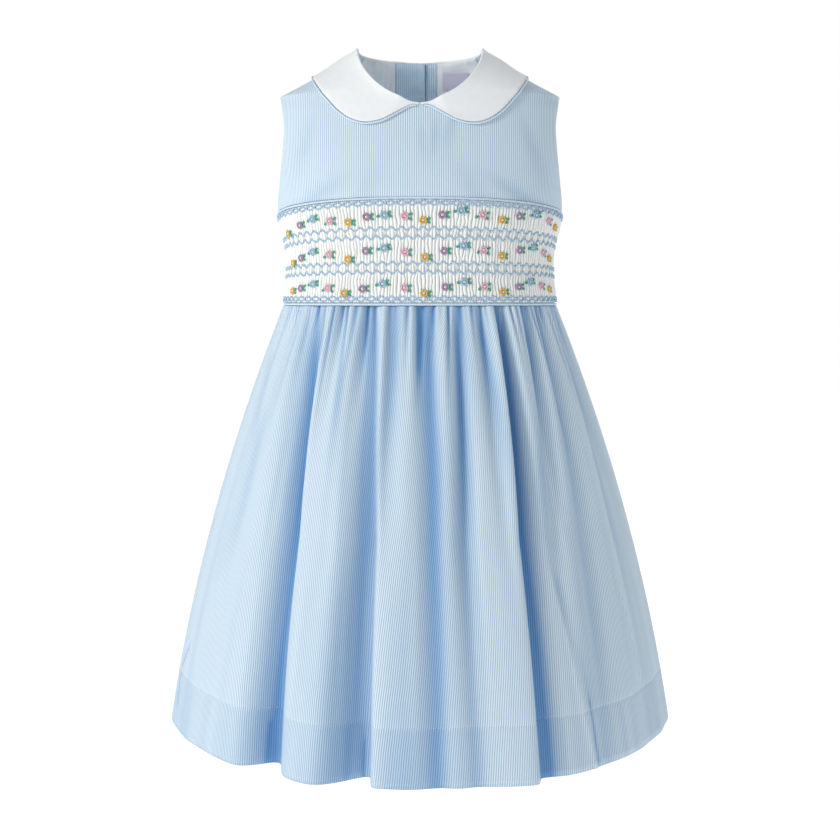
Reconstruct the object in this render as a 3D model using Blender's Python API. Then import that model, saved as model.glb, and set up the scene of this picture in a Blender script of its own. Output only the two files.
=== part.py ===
"""A child's sleeveless smocked dress, filled out as it is when worn.

It has a striped yoke, a pleated and smocked front panel, two lapping back bodice halves, a round
collar in two halves, and a gathered striped skirt. Sizes below are in millimetres, and each point
is turned into metres when its mesh is made. +Z is up, the front faces -Y, and the origin lies
between the two shoulder seams, where the dress hangs from its wearer.
"""

import math

import bmesh
import bpy
from mathutils import Vector

METRES = 0.001
MERGE_DISTANCE = 0.01

# Heights and half widths of the cut
NECK_HALF_WIDTH = 47.0
NECK_SIDE_Z = 17.0
FRONT_NECK_Z = -27.5
FRONT_NECK_POINTED = 1.2
BACK_NECK_Z = 15.0
SHOULDER_TIP_Z = -17.0
UNDERARM_Z = -107.0
ARMHOLE_DEPTH = 31.0
PANEL_TOP_CENTRE_Z = -98.0
WAIST_Z = -175.0
HEM_Z = -507.0
HEM_SIDE_RISE = 10.0
HEM_RISE_FROM = 30.0

# Thicknesses and clearances
CLOTH = 1.2
FACING = 1.0
SEAM_GAP = 0.3
LAYER_GAP = 1.0
PIPING_RADIUS = 1.0
COLLAR_PIPING_RADIUS = 0.9
HEM_TURN_UP = 40.0
HEM_CLOTH = 2.0

# Sections of the body under the cloth: height, half width, and depth in front and behind
BODY_SECTIONS = (
    (30.0, 28.0, 24.0, 35.0),
    (17.0, 47.0, 31.6, 40.7),
    (10.6, 60.5, 35.5, 44.5),
    (0.0, 76.0, 42.0, 51.0),
    (-9.0, 92.0, 46.8, 56.3),
    (-17.0, 107.0, 50.5, 60.0),
    (-19.0, 107.5, 51.4, 60.9),
    (-30.0, 110.4, 56.5, 66.0),
    (-60.0, 113.0, 67.5, 73.5),
    (-90.0, 111.0, 75.5, 77.0),
    (-107.0, 109.0, 77.5, 77.5),
    (-118.0, 106.6, 77.5, 77.3),
    (-130.0, 103.4, 77.3, 77.0),
    (-150.0, 102.4, 76.5, 76.3),
    (-175.0, 105.0, 76.0, 76.0),
)
HALF_WIDTH, FRONT_DEPTH, BACK_DEPTH = 1, 2, 3
ROUNDNESS = 2.2

# Collar
COLLAR_OUTLINE = (
    # place along the neck from the nearer end, width
    (0.0, 1.4),
    (7.0, 2.9),
    (13.0, 10.5),
    (19.0, 21.0),
    (25.0, 28.0),
    (31.0, 31.5),
    (37.0, 33.0),
    (50.0, 34.0),
    (62.0, 36.0),
    (75.0, 37.5),
    (90.0, 38.0),
)
COLLAR_ROW_SHARES = (0.0, 0.12, 0.3, 0.55, 0.8, 1.0)
COLLAR_COLUMNS = 28
COLLAR_END_GAP = 0.7
COLLAR_FRONT_ROLL = 1.8
COLLAR_BACK_ROLL = 0.6
COLLAR_ROLL_LENGTH = 5.0
COLLAR_LIFT_LENGTH = 12.0
COLLAR_PIPING_OFF = 1.5 * SEAM_GAP + COLLAR_PIPING_RADIUS

# A height over the neckline that the collar spreads away from, all round
ABOVE_NECK = 20.0

# Back opening
LAP_EDGE_X = -10.0
UNDERLAP_EDGE_X = 4.4
UNDERLAP_FACING_X = -19.7
LAP_FACING_X = 13.7
LAP_LIFT = 1.5
LAP_FLAT_X = 6.0
LAP_FADE_X = 26.0
FACING_LOW_Z = -38.0
FACING_SHOULDER_X = 55.0
FACING_SHOULDER_Z = 2.0
FACING_NECK_TURN = 72.0
BUTTON_X = -3.0
BUTTON_HEIGHTS = (-5.0, -48.0, -91.0, -134.0)
BUTTON_RADIUS = 5.5
BUTTON_THICKNESS = 2.4
BUTTON_SIDES = 12
BUTTON_PROFILE = (
    # share of the radius, share of the thickness
    (0.0, 0.0),
    (0.8, 0.0),
    (1.0, 0.35),
    (1.0, 0.8),
    (0.85, 1.0),
    (0.68, 0.75),
    (0.0, 0.75),
)

# Where the back halves have their rows and columns, which are closer where they bend more
BACK_ROWS = (0.0, 0.14, 0.28, 0.5, 0.6, 0.69, 0.77, 0.84, 0.9, 0.95, 0.98, 1.0)
BACK_COLUMNS = (0.0, 0.04, 0.08, 0.12, 0.17, 0.22, 0.28, 0.34, 0.41, 0.48, 0.55, 0.63, 0.72, 0.82, 0.91, 1.0)
BACK_SHOULDER_SHARE = 0.55
UNDERARM_ROW = 3
STRIP_COLUMNS = 3
NECK_FACING_ROWS = 7
NECK_FACING_COLUMNS = 11

# Label
LABEL_LEFT_X = 18.5
LABEL_RIGHT_X = 40.0
LABEL_TOP_Z = 11.0
LABEL_LOW_Z = -2.5
LABEL_THICKNESS = 0.6
LABEL_ROWS = 3
LABEL_COLUMNS = 5

# Smocked panel
PLEATS = 116
PLEAT_HEIGHT = 0.9
PLEAT_PUFFS = (0.5, 1.0, 1.0, 0.5)

# Pipings of the panel
PIPING_PROUD = 0.2
PIPING_END_ANGLE = 88.5
PIPING_PARTS = 34
CORD_SIDES = 5

# Yoke
YOKE_SHOULDER_SHARE = 0.28
YOKE_COLUMNS = 28
YOKE_ROWS = (0.0, 0.2, 0.4, 0.57, 0.72, 0.84, 0.92, 0.97, 1.0)

# Fineness of measured curves
ARC_SAMPLES = 720
NECK_SAMPLES = 160
NECK_REACH = 4
WALK_STEP = 3.0

# Skirt
WAIST_HALF_WIDTH = 105.0
WAIST_DEPTH = 76.0
HEM_HALF_WIDTH = 196.0
HEM_FRONT_DEPTH = 168.0
HEM_BACK_DEPTH = 164.0
FLARE_BOW = 0.45
HEM_ROUNDNESS = 1.85
GATHERS_A_SIDE = 40
FRONT_COLUMNS_A_GATHER = 3
BACK_COLUMNS_A_GATHER = 2
GATHER_HEIGHT = 1.3
GATHER_FADE = 0.1
SKIRT_LEVELS = (0.0, 0.05, 0.14, 0.33, 0.6, 0.88, 1.0)

# Where the depths of a fold are given, as shares of the way from the waist to the hem
FOLD_LEVELS = (0.0, 0.08, 0.35, 0.7, 1.0)

# How many degrees the folds take to fade out at the side seams, where front and back meet
FOLD_CALM = 8.0

# Each skirt fold: its angle from the middle at the waist and at the hem, its depth at each of
# the levels above, and its widths in degrees at the waist and at the hem, on its left and on its
# right. Ridges have negative depths.
FRONT_FOLDS = (
    # at_waist, at_hem, depths, left_widths, right_widths
    (-70.0, -72.0, (0.5, 2.5, 2.0, 1.0, 1.0), (5.0, 5.0), (5.0, 5.0)),
    (-60.0, -57.0, (1.0, 3.5, 3.5, 2.0, 1.0), (5.0, 6.0), (5.0, 5.0)),
    (-47.0, -45.0, (1.0, 3.5, 3.0, 1.0, 0.0), (4.0, 4.0), (3.5, 3.5)),
    (-40.5, -38.5, (2.0, 9.0, 18.0, 21.0, 26.0), (5.5, 3.4), (2.0, 5.0)),
    (-30.0, -37.0, (2.0, 5.0, 1.0, 0.0, 0.0), (3.0, 3.0), (3.0, 3.0)),
    (-20.5, -24.0, (2.0, 4.5, -1.0, -4.0, -5.0), (2.5, 5.0), (3.0, 4.0)),
    (-15.2, -13.3, (2.5, 7.0, 12.0, 19.0, 24.0), (6.0, 5.8), (1.6, 1.3)),
    (-8.5, -12.0, (2.0, 5.0, 4.0, 0.0, 0.0), (2.2, 2.2), (3.5, 3.5)),
    (1.0, 3.5, (2.0, 6.0, 4.5, 2.5, 1.5), (4.0, 4.0), (3.0, 3.0)),
    (9.5, 13.0, (2.5, 8.0, 8.0, 3.0, 1.0), (3.0, 3.0), (3.0, 3.0)),
    (20.0, 23.0, (2.0, 5.0, 3.0, 0.0, 0.0), (2.6, 2.6), (3.0, 3.0)),
    (29.5, 26.3, (0.0, -2.0, -5.0, -6.0, -7.0), (4.0, 7.0), (1.6, 1.6)),
    (32.5, 29.3, (3.0, 10.0, 16.0, 11.0, 4.0), (2.0, 1.6), (6.0, 9.0)),
    (43.0, 37.0, (2.0, 7.0, 7.0, 1.0, 0.0), (3.0, 3.0), (4.0, 4.0)),
    (34.0, 41.0, (0.0, 0.0, 0.0, -3.0, -3.0), (3.0, 3.0), (3.0, 3.0)),
    (52.0, 50.0, (1.5, 4.0, 3.0, 1.0, 0.0), (3.0, 3.0), (4.0, 4.0)),
    (65.0, 60.0, (2.0, 6.0, 7.0, 3.0, 1.0), (4.0, 4.0), (6.0, 6.0)),
    (75.0, 76.0, (1.0, 2.5, 2.0, 1.0, 1.0), (4.0, 4.0), (4.0, 4.0)),
)
BACK_FOLDS = (
    (-71.0, -68.0, (1.5, 4.0, 5.0, 4.0, 3.0), (5.0, 5.0), (6.0, 6.0)),
    (-56.0, -53.0, (2.0, 6.0, 9.0, 11.0, 12.0), (4.0, 4.0), (6.0, 7.0)),
    (-43.0, -46.0, (2.0, 5.0, 3.0, 0.0, 0.0), (3.0, 3.0), (3.0, 3.0)),
    (-33.0, -31.0, (2.5, 8.0, 15.0, 18.0, 21.0), (6.0, 7.0), (2.6, 2.2)),
    (-23.0, -25.0, (2.0, 5.0, 2.0, 0.0, 0.0), (3.0, 3.0), (3.0, 3.0)),
    (-12.0, -13.0, (2.0, 6.0, 7.0, 4.0, 3.0), (3.5, 3.5), (4.5, 4.5)),
    (0.0, 1.0, (2.5, 7.0, 12.0, 15.0, 17.0), (3.0, 2.4), (5.0, 6.0)),
    (11.0, 14.0, (2.0, 5.0, 3.0, 1.0, 0.0), (3.0, 3.0), (3.0, 3.0)),
    (22.0, 24.0, (2.5, 7.0, 9.0, 6.0, 4.0), (4.0, 4.0), (4.0, 4.0)),
    (34.0, 37.0, (2.5, 8.0, 14.0, 18.0, 20.0), (3.0, 2.6), (6.0, 8.0)),
    (47.0, 50.0, (2.0, 5.0, 2.0, 0.0, 0.0), (3.0, 3.0), (3.0, 3.0)),
    (59.0, 58.0, (2.0, 6.0, 8.0, 7.0, 6.0), (5.0, 5.0), (5.0, 5.0)),
    (73.0, 72.0, (1.5, 3.5, 3.0, 2.0, 2.0), (4.0, 4.0), (4.0, 4.0)),
)

FRONT, BACK = -1, 1
LEFT, RIGHT = 1, -1

STRIPED = ("striped_cotton", (0.58, 0.74, 0.9), 0.85)
WHITE = ("white_cotton", (0.88, 0.9, 0.92), 0.8)
SMOCKED = ("smocked_cotton", (0.85, 0.86, 0.85), 0.85)
PIPED = ("piping", (0.68, 0.8, 0.92), 0.8)
LABEL = ("label", (0.8, 0.74, 0.86), 0.7)
BUTTON = ("button", (0.86, 0.9, 0.94), 0.3)


def clear_scene():
    for obj in list(bpy.data.objects):
        bpy.data.objects.remove(obj)


def material(name, colour, roughness):
    found = bpy.data.materials.get(name)
    if found:
        return found
    made = bpy.data.materials.new(name)
    made.use_nodes = True
    shader = made.node_tree.nodes["Principled BSDF"]
    shader.inputs["Base Color"].default_value = (*colour, 1.0)
    shader.inputs["Roughness"].default_value = roughness
    shader.inputs["Metallic"].default_value = 0.0
    return made


def mix(start, end, share):
    return start + (end - start) * share


def ease(share):
    """0 to 1 along a smooth step."""
    share = min(1.0, max(0.0, share))
    return share * share * (3.0 - 2.0 * share)


def smooth_value(places, values, place):
    """A smooth curve through values given at rising places."""
    last = len(places) - 1
    place = min(max(place, places[0]), places[last])
    low = max(i for i in range(last) if places[i] <= place)

    def slope(i):
        before, after = max(0, i - 1), min(last, i + 1)
        return (values[after] - values[before]) / (places[after] - places[before])

    span = places[low + 1] - places[low]
    share = (place - places[low]) / span
    start = values[low] * (1 + 2 * share) * (1 - share) ** 2
    end = values[low + 1] * (3 - 2 * share) * share**2
    bend = span * share * (1 - share) * (slope(low) * (1 - share) - slope(low + 1) * share)
    return start + end + bend


def body_size(z, column):
    rows = BODY_SECTIONS[::-1]
    return smooth_value([row[0] for row in rows], [row[column] for row in rows], z)


def half_width(z):
    return body_size(z, HALF_WIDTH)


def depth(side, z):
    return body_size(z, FRONT_DEPTH if side == FRONT else BACK_DEPTH)


def on_body(side, x, z):
    """The body's point in front or behind, as seen straight on at x and z."""
    share = min(1.0, abs(x) / half_width(z))
    out = depth(side, z) * (1.0 - share**ROUNDNESS) ** (1.0 / ROUNDNESS)
    return Vector((x, side * max(out, SEAM_GAP / 2), z))


def round_body(side, angle, z):
    """The body's point at an angle in degrees from the middle of the front or back."""
    turn = math.radians(abs(angle))
    x = half_width(z) * math.sin(turn) ** (2 / ROUNDNESS)
    y = depth(side, z) * max(0.0, math.cos(turn)) ** (2 / ROUNDNESS)
    return Vector((math.copysign(x, angle), side * max(y, SEAM_GAP / 2), z))


def outside(point):
    """How far a point is past the body's surface, as a plain share: 0 on it."""
    side = FRONT if point.y < 0 else BACK
    across = (abs(point.x) / half_width(point.z)) ** ROUNDNESS
    through = (abs(point.y) / depth(side, point.z)) ** ROUNDNESS
    return across + through - 1.0


def steepest(point):
    """The gradient of outside()."""
    step = 0.01
    slopes = []
    for axis in range(3):
        move = Vector((0.0, 0.0, 0.0))
        move[axis] = step
        slopes.append((outside(point + move) - outside(point - move)) / (2 * step))
    return Vector(slopes)


def onto_body(point):
    for _ in range(4):
        gradient = steepest(point)
        point = point - gradient * (outside(point) / gradient.length_squared)
    return point


def normal_at(point):
    return steepest(point).normalized()


def raised(point, height):
    """A point on the body, moved out by a height. One on a side or shoulder seam stays on it."""
    moved = point + normal_at(point) * height
    if abs(point.y) <= SEAM_GAP:
        moved.y = point.y
    return moved


def along_body(start, direction, distance):
    """The point reached by walking over the body from a start."""
    steps = max(1, math.ceil(distance / WALK_STEP))
    point = start.copy()
    for _ in range(steps):
        normal = normal_at(point)
        direction = (direction - normal * direction.dot(normal)).normalized()
        point = onto_body(point + direction * (distance / steps))
    return point


def equal_angles(side, z, count):
    """Angles from -90 to 90 degrees that part a level round the body into equal lengths."""
    angles = [mix(-90.0, 90.0, i / ARC_SAMPLES) for i in range(ARC_SAMPLES + 1)]
    points = [round_body(side, angle, z) for angle in angles]
    lengths = [0.0]
    for before, after in zip(points, points[1:]):
        lengths.append(lengths[-1] + (after - before).length)
    found = []
    at = 0
    for i in range(count + 1):
        target = lengths[-1] * i / count
        while at < ARC_SAMPLES - 1 and lengths[at + 1] < target:
            at += 1
        share = (target - lengths[at]) / (lengths[at + 1] - lengths[at])
        found.append(mix(angles[at], angles[at + 1], min(1.0, share)))
    return found


def neck_point(side, turn):
    """A point of the neckline, turned from 0 at its middle to 90 degrees at the shoulder."""
    middle = FRONT_NECK_Z if side == FRONT else BACK_NECK_Z
    power = FRONT_NECK_POINTED if side == FRONT else 1.0
    x = NECK_HALF_WIDTH * math.sin(math.radians(turn)) ** power
    z = NECK_SIDE_Z - (NECK_SIDE_Z - middle) * math.cos(math.radians(turn))
    return on_body(side, x, z)


def shoulder_point(side, share):
    """A point of the shoulder seam, from 0 at the neck to 1 at the tip."""
    z = mix(NECK_SIDE_Z, SHOULDER_TIP_Z, share)
    return on_body(side, half_width(z), z)


def armhole_point(side, share, low_z):
    """A point of the armhole's oval edge, from 0 under the arm to 1 at the shoulder's tip."""
    turn = math.pi * share
    z = mix(low_z, SHOULDER_TIP_Z, (1 - math.cos(turn)) / 2)
    through = ARMHOLE_DEPTH * math.sin(turn) / depth(side, z)
    x = half_width(z) * (1 - through**ROUNDNESS) ** (1 / ROUNDNESS)
    return on_body(side, x, z)


def panel_top_z(angle):
    """The arched seam over the smocked panel, which dips towards the side seams."""
    return PANEL_TOP_CENTRE_Z + (UNDERARM_Z - PANEL_TOP_CENTRE_Z) * (1 - math.cos(math.radians(angle)))


def patch(side, bottom, top, left, right, columns, rows, height):
    """A grid on the body between four edges, which are functions from 0 to 1 seen straight on."""
    grid = []
    for row in rows:
        line = []
        for column in columns:
            x = mix(bottom(column).x, top(column).x, row) + mix(left(row).x, right(row).x, column)
            z = mix(bottom(column).z, top(column).z, row) + mix(left(row).z, right(row).z, column)
            low_x = mix(bottom(0.0).x, bottom(1.0).x, column)
            low_z = mix(bottom(0.0).z, bottom(1.0).z, column)
            high_x = mix(top(0.0).x, top(1.0).x, column)
            high_z = mix(top(0.0).z, top(1.0).z, column)
            x -= mix(low_x, high_x, row)
            z -= mix(low_z, high_z, row)
            line.append(raised(on_body(side, x, z), height(x)))
        grid.append(line)
    return grid


def grid_normals(grid):
    """Outward normals of a grid whose rows rise and whose columns run to the viewer's right."""
    rows, columns = len(grid), len(grid[0])
    normals = []
    for r in range(rows):
        line = []
        for c in range(columns):
            across = grid[r][min(c + 1, columns - 1)] - grid[r][max(c - 1, 0)]
            up = grid[min(r + 1, rows - 1)][c] - grid[max(r - 1, 0)][c]
            line.append(across.cross(up).normalized())
        normals.append(line)
    return normals


def inner_grid(grid, normals, thickness, flat_rows):
    """The inside of a wall. Points on seams move only within the seam's plane."""
    inner = []
    for r, row in enumerate(grid):
        line = []
        for c, point in enumerate(row):
            moved = point - normals[r][c] * thickness(r)
            if abs(point.y) <= SEAM_GAP:
                moved.y = point.y
            if r in flat_rows or r - len(grid) in flat_rows:
                moved.z = point.z
            line.append(moved)
        inner.append(line)
    return inner


def add_object(name, mesh_data, look):
    mesh_data.materials.append(material(*look))
    mesh_data.shade_smooth()
    obj = bpy.data.objects.new(name, mesh_data)
    bpy.context.scene.collection.objects.link(obj)
    return obj


def finish_mesh(name, bm, look):
    bmesh.ops.recalc_face_normals(bm, faces=bm.faces)
    if bm.calc_volume(signed=True) < 0:
        bmesh.ops.reverse_faces(bm, faces=bm.faces)
    mesh_data = bpy.data.meshes.new(name)
    bm.to_mesh(mesh_data)
    bm.free()
    return add_object(name, mesh_data, look)


def wall(name, outer, inner, look):
    """A closed wall between an outer and an inner grid of the same size."""
    bm = bmesh.new()
    out = [[bm.verts.new(point * METRES) for point in row] for row in outer]
    ins = [[bm.verts.new(point * METRES) for point in row] for row in inner]
    for grid in (out, ins):
        for low, high in zip(grid, grid[1:]):
            for c in range(len(low) - 1):
                bm.faces.new((low[c], low[c + 1], high[c + 1], high[c]))
    for row_out, row_in in ((out[0], ins[0]), (out[-1], ins[-1])):
        for c in range(len(row_out) - 1):
            bm.faces.new((row_out[c], row_out[c + 1], row_in[c + 1], row_in[c]))
    for c in (0, -1):
        for r in range(len(out) - 1):
            bm.faces.new((out[r][c], out[r + 1][c], ins[r + 1][c], ins[r][c]))
    return finish_mesh(name, bm, look)


def body_wall(name, grid, look, thickness=CLOTH, flat_rows=()):
    """A wall whose outer grid lies on the body."""
    normals = [[normal_at(point) for point in row] for row in grid]
    inside = inner_grid(grid, normals, lambda row: thickness, flat_rows)
    return wall(name, grid, inside, look)


def tube(name, path, radius, look):
    """A closed round cord along a path of points."""
    bm = bmesh.new()
    sides = CORD_SIDES
    rings = []
    up = Vector((0.0, 0.0, 1.0))
    for i, point in enumerate(path):
        along = (path[min(i + 1, len(path) - 1)] - path[max(i - 1, 0)]).normalized()
        first = along.cross(up).normalized()
        up = first.cross(along)
        ring = []
        for k in range(sides):
            turn = 2 * math.pi * k / sides
            ring.append(point + first * (radius * math.cos(turn)) + up * (radius * math.sin(turn)))
        rings.append([bm.verts.new(spot * METRES) for spot in ring])
    for low, high in zip(rings, rings[1:]):
        for k in range(sides):
            bm.faces.new((low[k], low[(k + 1) % sides], high[(k + 1) % sides], high[k]))
    bm.faces.new(rings[0])
    bm.faces.new(rings[-1])
    return finish_mesh(name, bm, look)


def steps(count, start=0.0, end=1.0):
    return [mix(start, end, i / count) for i in range(count + 1)]


def front_top_edge(share):
    """The yoke's upper edge from the right armhole, over both shoulders, to the left armhole."""
    across = 2 * share - 1
    near = 1 - 2 * YOKE_SHOULDER_SHARE
    if abs(across) > near:
        point = shoulder_point(FRONT, (abs(across) - near) / (1 - near))
    else:
        point = neck_point(FRONT, 90 * abs(across) / near)
    point.x = math.copysign(point.x, across)
    return point


def front_yoke():
    """Its rows are closer together near the shoulders, where the cloth turns over."""
    lift = PIPING_RADIUS + SEAM_GAP

    def bottom(share):
        angle = 180 * share - 90
        z = panel_top_z(angle) + lift
        return round_body(FRONT, angle, z)

    def armhole(share, sign):
        point = armhole_point(FRONT, share, UNDERARM_Z + lift)
        return Vector((sign * point.x, point.y, point.z))

    grid = patch(
        FRONT,
        bottom,
        front_top_edge,
        lambda share: armhole(share, -1),
        lambda share: armhole(share, 1),
        steps(YOKE_COLUMNS),
        YOKE_ROWS,
        lambda x: 0.0,
    )
    body_wall("front_yoke", grid, STRIPED, flat_rows=(0,))


def smocked_panel():
    """Two columns a pleat: one on its ridge and one in the groove beside it."""
    margin = PIPING_RADIUS + SEAM_GAP
    middle_z = (UNDERARM_Z + WAIST_Z) / 2
    angles = equal_angles(FRONT, middle_z, 2 * PLEATS)
    outer, inner = [], []
    for r, puff in enumerate(PLEAT_PUFFS):
        out_row, in_row = [], []
        for c, angle in enumerate(angles):
            z = mix(WAIST_Z + margin, panel_top_z(angle) - margin, r / (len(PLEAT_PUFFS) - 1))
            point = round_body(FRONT, angle, z)
            out_row.append(raised(point, PLEAT_HEIGHT * puff if c % 2 else 0.0))
            in_row.append(raised(point, -CLOTH))
        outer.append(out_row)
        inner.append(in_row)
    wall("smocked_panel", outer, inner, SMOCKED)


def panel_pipings():
    """The cords in the seams over and under the smocked panel."""
    angles = equal_angles(FRONT, WAIST_Z, PIPING_PARTS)[1:-1]
    for name, height in (("panel_piping", panel_top_z), ("waist_piping", lambda angle: WAIST_Z)):
        path = []
        for angle in (-PIPING_END_ANGLE, *angles, PIPING_END_ANGLE):
            path.append(raised(round_body(FRONT, angle, height(angle)), PIPING_PROUD))
        tube(name, path, PIPING_RADIUS, PIPED)


def lap_lift(x):
    """How far the left half's lap stands above the right half."""
    return LAP_LIFT * ease((LAP_FADE_X - x) / (LAP_FADE_X - LAP_FLAT_X))


def back_half(name, sign, centre_x, height):
    """Half of the back, from its edge at the opening to the side seam and armhole."""
    waist = WAIST_Z + SEAM_GAP / 2
    neck_turn = math.degrees(math.asin(abs(centre_x) / NECK_HALF_WIDTH))
    shoulder = BACK_SHOULDER_SHARE
    under = (UNDERARM_Z - waist) / (SHOULDER_TIP_Z - waist)
    start_angle = math.degrees(math.asin((abs(centre_x) / half_width(waist)) ** (ROUNDNESS / 2)))
    own_side = centre_x * sign > 0
    first_turn = neck_turn if own_side else -neck_turn
    first_angle = start_angle if own_side else -start_angle

    def bottom(share):
        point = round_body(BACK, mix(first_angle, 90, share), waist)
        return Vector((sign * point.x, point.y, waist))

    def top(share):
        if share < shoulder:
            turn = mix(first_turn, 90, share / shoulder)
            point = neck_point(BACK, turn)
        else:
            point = shoulder_point(BACK, (share - shoulder) / (1 - shoulder))
        return Vector((sign * point.x, point.y, point.z))

    def centre(share):
        return Vector((centre_x, 0.0, mix(waist, top(0.0).z, share)))

    def edge(share):
        if share < under:
            z = mix(waist, UNDERARM_Z, share / under)
            return Vector((sign * half_width(z), 0.0, z))
        point = armhole_point(BACK, (share - under) / (1 - under), UNDERARM_Z)
        return Vector((sign * point.x, point.y, point.z))

    def mirrored(share):
        return share if sign > 0 else 1 - share

    columns = BACK_COLUMNS if sign > 0 else BACK_COLUMNS[::-1]
    left, right = (centre, edge) if sign > 0 else (edge, centre)
    grid = patch(
        BACK,
        lambda share: bottom(mirrored(share)),
        lambda share: top(mirrored(share)),
        left,
        right,
        [mirrored(share) for share in columns],
        BACK_ROWS[:UNDERARM_ROW] + (under,) + BACK_ROWS[UNDERARM_ROW:],
        height,
    )
    # Seen from behind, rising x runs to the left
    grid = [row[::-1] for row in grid]
    body_wall(name, grid, STRIPED, flat_rows=(0,))


def back_strip(name, low_x, high_x, height):
    """A facing of the back opening, from the neckline down to the waist."""
    waist = WAIST_Z + SEAM_GAP / 2
    grid = []
    for share in BACK_ROWS:
        row = []
        for x in steps(STRIP_COLUMNS, high_x, low_x):
            turn = math.degrees(math.asin(abs(x) / NECK_HALF_WIDTH))
            z = mix(waist, neck_point(BACK, turn).z - SEAM_GAP, share)
            row.append(raised(on_body(BACK, x, z), height(x)))
        grid.append(row)
    body_wall(name, grid, STRIPED, thickness=FACING, flat_rows=(0,))


def neck_facing(name, sign, start_x, height):
    """The white facing inside the back neck, from the opening's stand to the shoulder seam."""
    turn = math.degrees(math.asin(start_x / NECK_HALF_WIDTH))
    grid = []
    for share in steps(NECK_FACING_ROWS, 1.0, 0.0):
        row = []
        for along in steps(NECK_FACING_COLUMNS):
            upper = neck_point(BACK, mix(turn, FACING_NECK_TURN, along))
            swing = math.radians(90 * along)
            low_x = start_x + (FACING_SHOULDER_X - start_x) * math.sin(swing)
            low_z = mix(FACING_SHOULDER_Z, FACING_LOW_Z, math.cos(swing))
            x = sign * mix(upper.x, low_x, share)
            z = mix(upper.z - SEAM_GAP, low_z, share)
            row.append(raised(on_body(BACK, x, z), height(x)))
        grid.append(row if sign < 0 else row[::-1])
    body_wall(name, grid, WHITE, thickness=FACING)


def neck_label():
    """A plain blank label on the inside of the left facing."""
    grid = []
    for z in steps(LABEL_ROWS, LABEL_LOW_Z, LABEL_TOP_Z):
        row = []
        for x in steps(LABEL_COLUMNS, LABEL_RIGHT_X, LABEL_LEFT_X):
            level = lap_lift(x) - CLOTH - FACING - 2 * LAYER_GAP
            row.append(raised(on_body(BACK, x, z), level))
        grid.append(row)
    body_wall("neck_label", grid, LABEL, thickness=LABEL_THICKNESS)


def back_pieces():
    flat = CLOTH + LAYER_GAP
    back_half("back_bodice_left", LEFT, LAP_EDGE_X, lap_lift)
    back_half("back_bodice_right", RIGHT, UNDERLAP_EDGE_X, lambda x: 0.0)
    back_strip("back_underlap", UNDERLAP_FACING_X, UNDERLAP_EDGE_X, lambda x: -flat)
    back_strip("back_lap_facing", UNDERLAP_EDGE_X + SEAM_GAP, LAP_FACING_X, lambda x: lap_lift(x) - flat)
    neck_facing("neck_facing_left", LEFT, LAP_FACING_X + SEAM_GAP, lambda x: lap_lift(x) - flat)
    neck_facing("neck_facing_right", RIGHT, -UNDERLAP_FACING_X + SEAM_GAP, lambda x: -flat)
    neck_label()


def back_buttons():
    """Flat round buttons with a raised rim, on the lap of the opening."""
    for number, z in enumerate(BUTTON_HEIGHTS, 1):
        seat = on_body(BACK, BUTTON_X, z)
        normal = normal_at(seat)
        bm = bmesh.new()
        rows = []
        for radius, height in BUTTON_PROFILE:
            rows.append(bm.verts.new((radius * BUTTON_RADIUS, 0.0, height * BUTTON_THICKNESS)))
        edges = [bm.edges.new(pair) for pair in zip(rows, rows[1:])]
        bmesh.ops.spin(
            bm,
            geom=rows + edges,
            cent=(0, 0, 0),
            axis=(0, 0, 1),
            angle=2 * math.pi,
            steps=BUTTON_SIDES,
            use_merge=True,
        )
        bmesh.ops.remove_doubles(bm, verts=bm.verts, dist=MERGE_DISTANCE)
        bmesh.ops.scale(bm, verts=bm.verts, vec=Vector((METRES, METRES, METRES)))
        obj = finish_mesh(f"back_button_{number}", bm, BUTTON)
        obj.location = (seat + normal * (LAP_LIFT + 2 * SEAM_GAP)) * METRES
        obj.rotation_euler = normal.to_track_quat("Z", "Y").to_euler()


def neck_route():
    """Points of half the neckline, from its middle in front to its middle behind."""
    turns = [90 * (1 - (1 - i / NECK_SAMPLES) ** 2) for i in range(NECK_SAMPLES + 1)]
    route = [neck_point(FRONT, turn) for turn in turns]
    route += [neck_point(BACK, turn) for turn in reversed(turns[:-1])]
    return [onto_body(point) for point in route]


def neck_columns(sign, count):
    """Points along half the neckline, with the way out over the body and the place along it."""
    route = neck_route()
    lengths = [0.0]
    for before, after in zip(route, route[1:]):
        lengths.append(lengths[-1] + (after - before).length)
    total = lengths[-1]
    found = []
    for place in steps(count, COLLAR_END_GAP, total - COLLAR_END_GAP):
        at = max(i for i in range(len(route) - 1) if lengths[i] <= place)
        share = (place - lengths[at]) / (lengths[at + 1] - lengths[at])
        point = route[at].lerp(route[at + 1], share)
        after = min(at + 1 + NECK_REACH, len(route) - 1)
        tangent = route[after] - route[max(at - NECK_REACH, 0)]
        out = tangent.cross(normal_at(point)).normalized()
        if out.dot(point - Vector((0.0, 0.0, point.z + ABOVE_NECK))) < 0:
            out = -out
        mirror = Vector((sign, 1.0, 1.0))
        found.append((point * mirror, out * mirror, min(place, total - place)))
    return found


def collar_width(place):
    """The collar's width, rounded off towards both ends of a half."""
    places, widths = zip(*COLLAR_OUTLINE)
    return smooth_value(places, widths, place)


def under_collar(point):
    """The level of what the collar lies on: the lap raises it behind."""
    return (lap_lift(abs(point.x)) + SEAM_GAP) * ease(point.y / COLLAR_LIFT_LENGTH)


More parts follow.
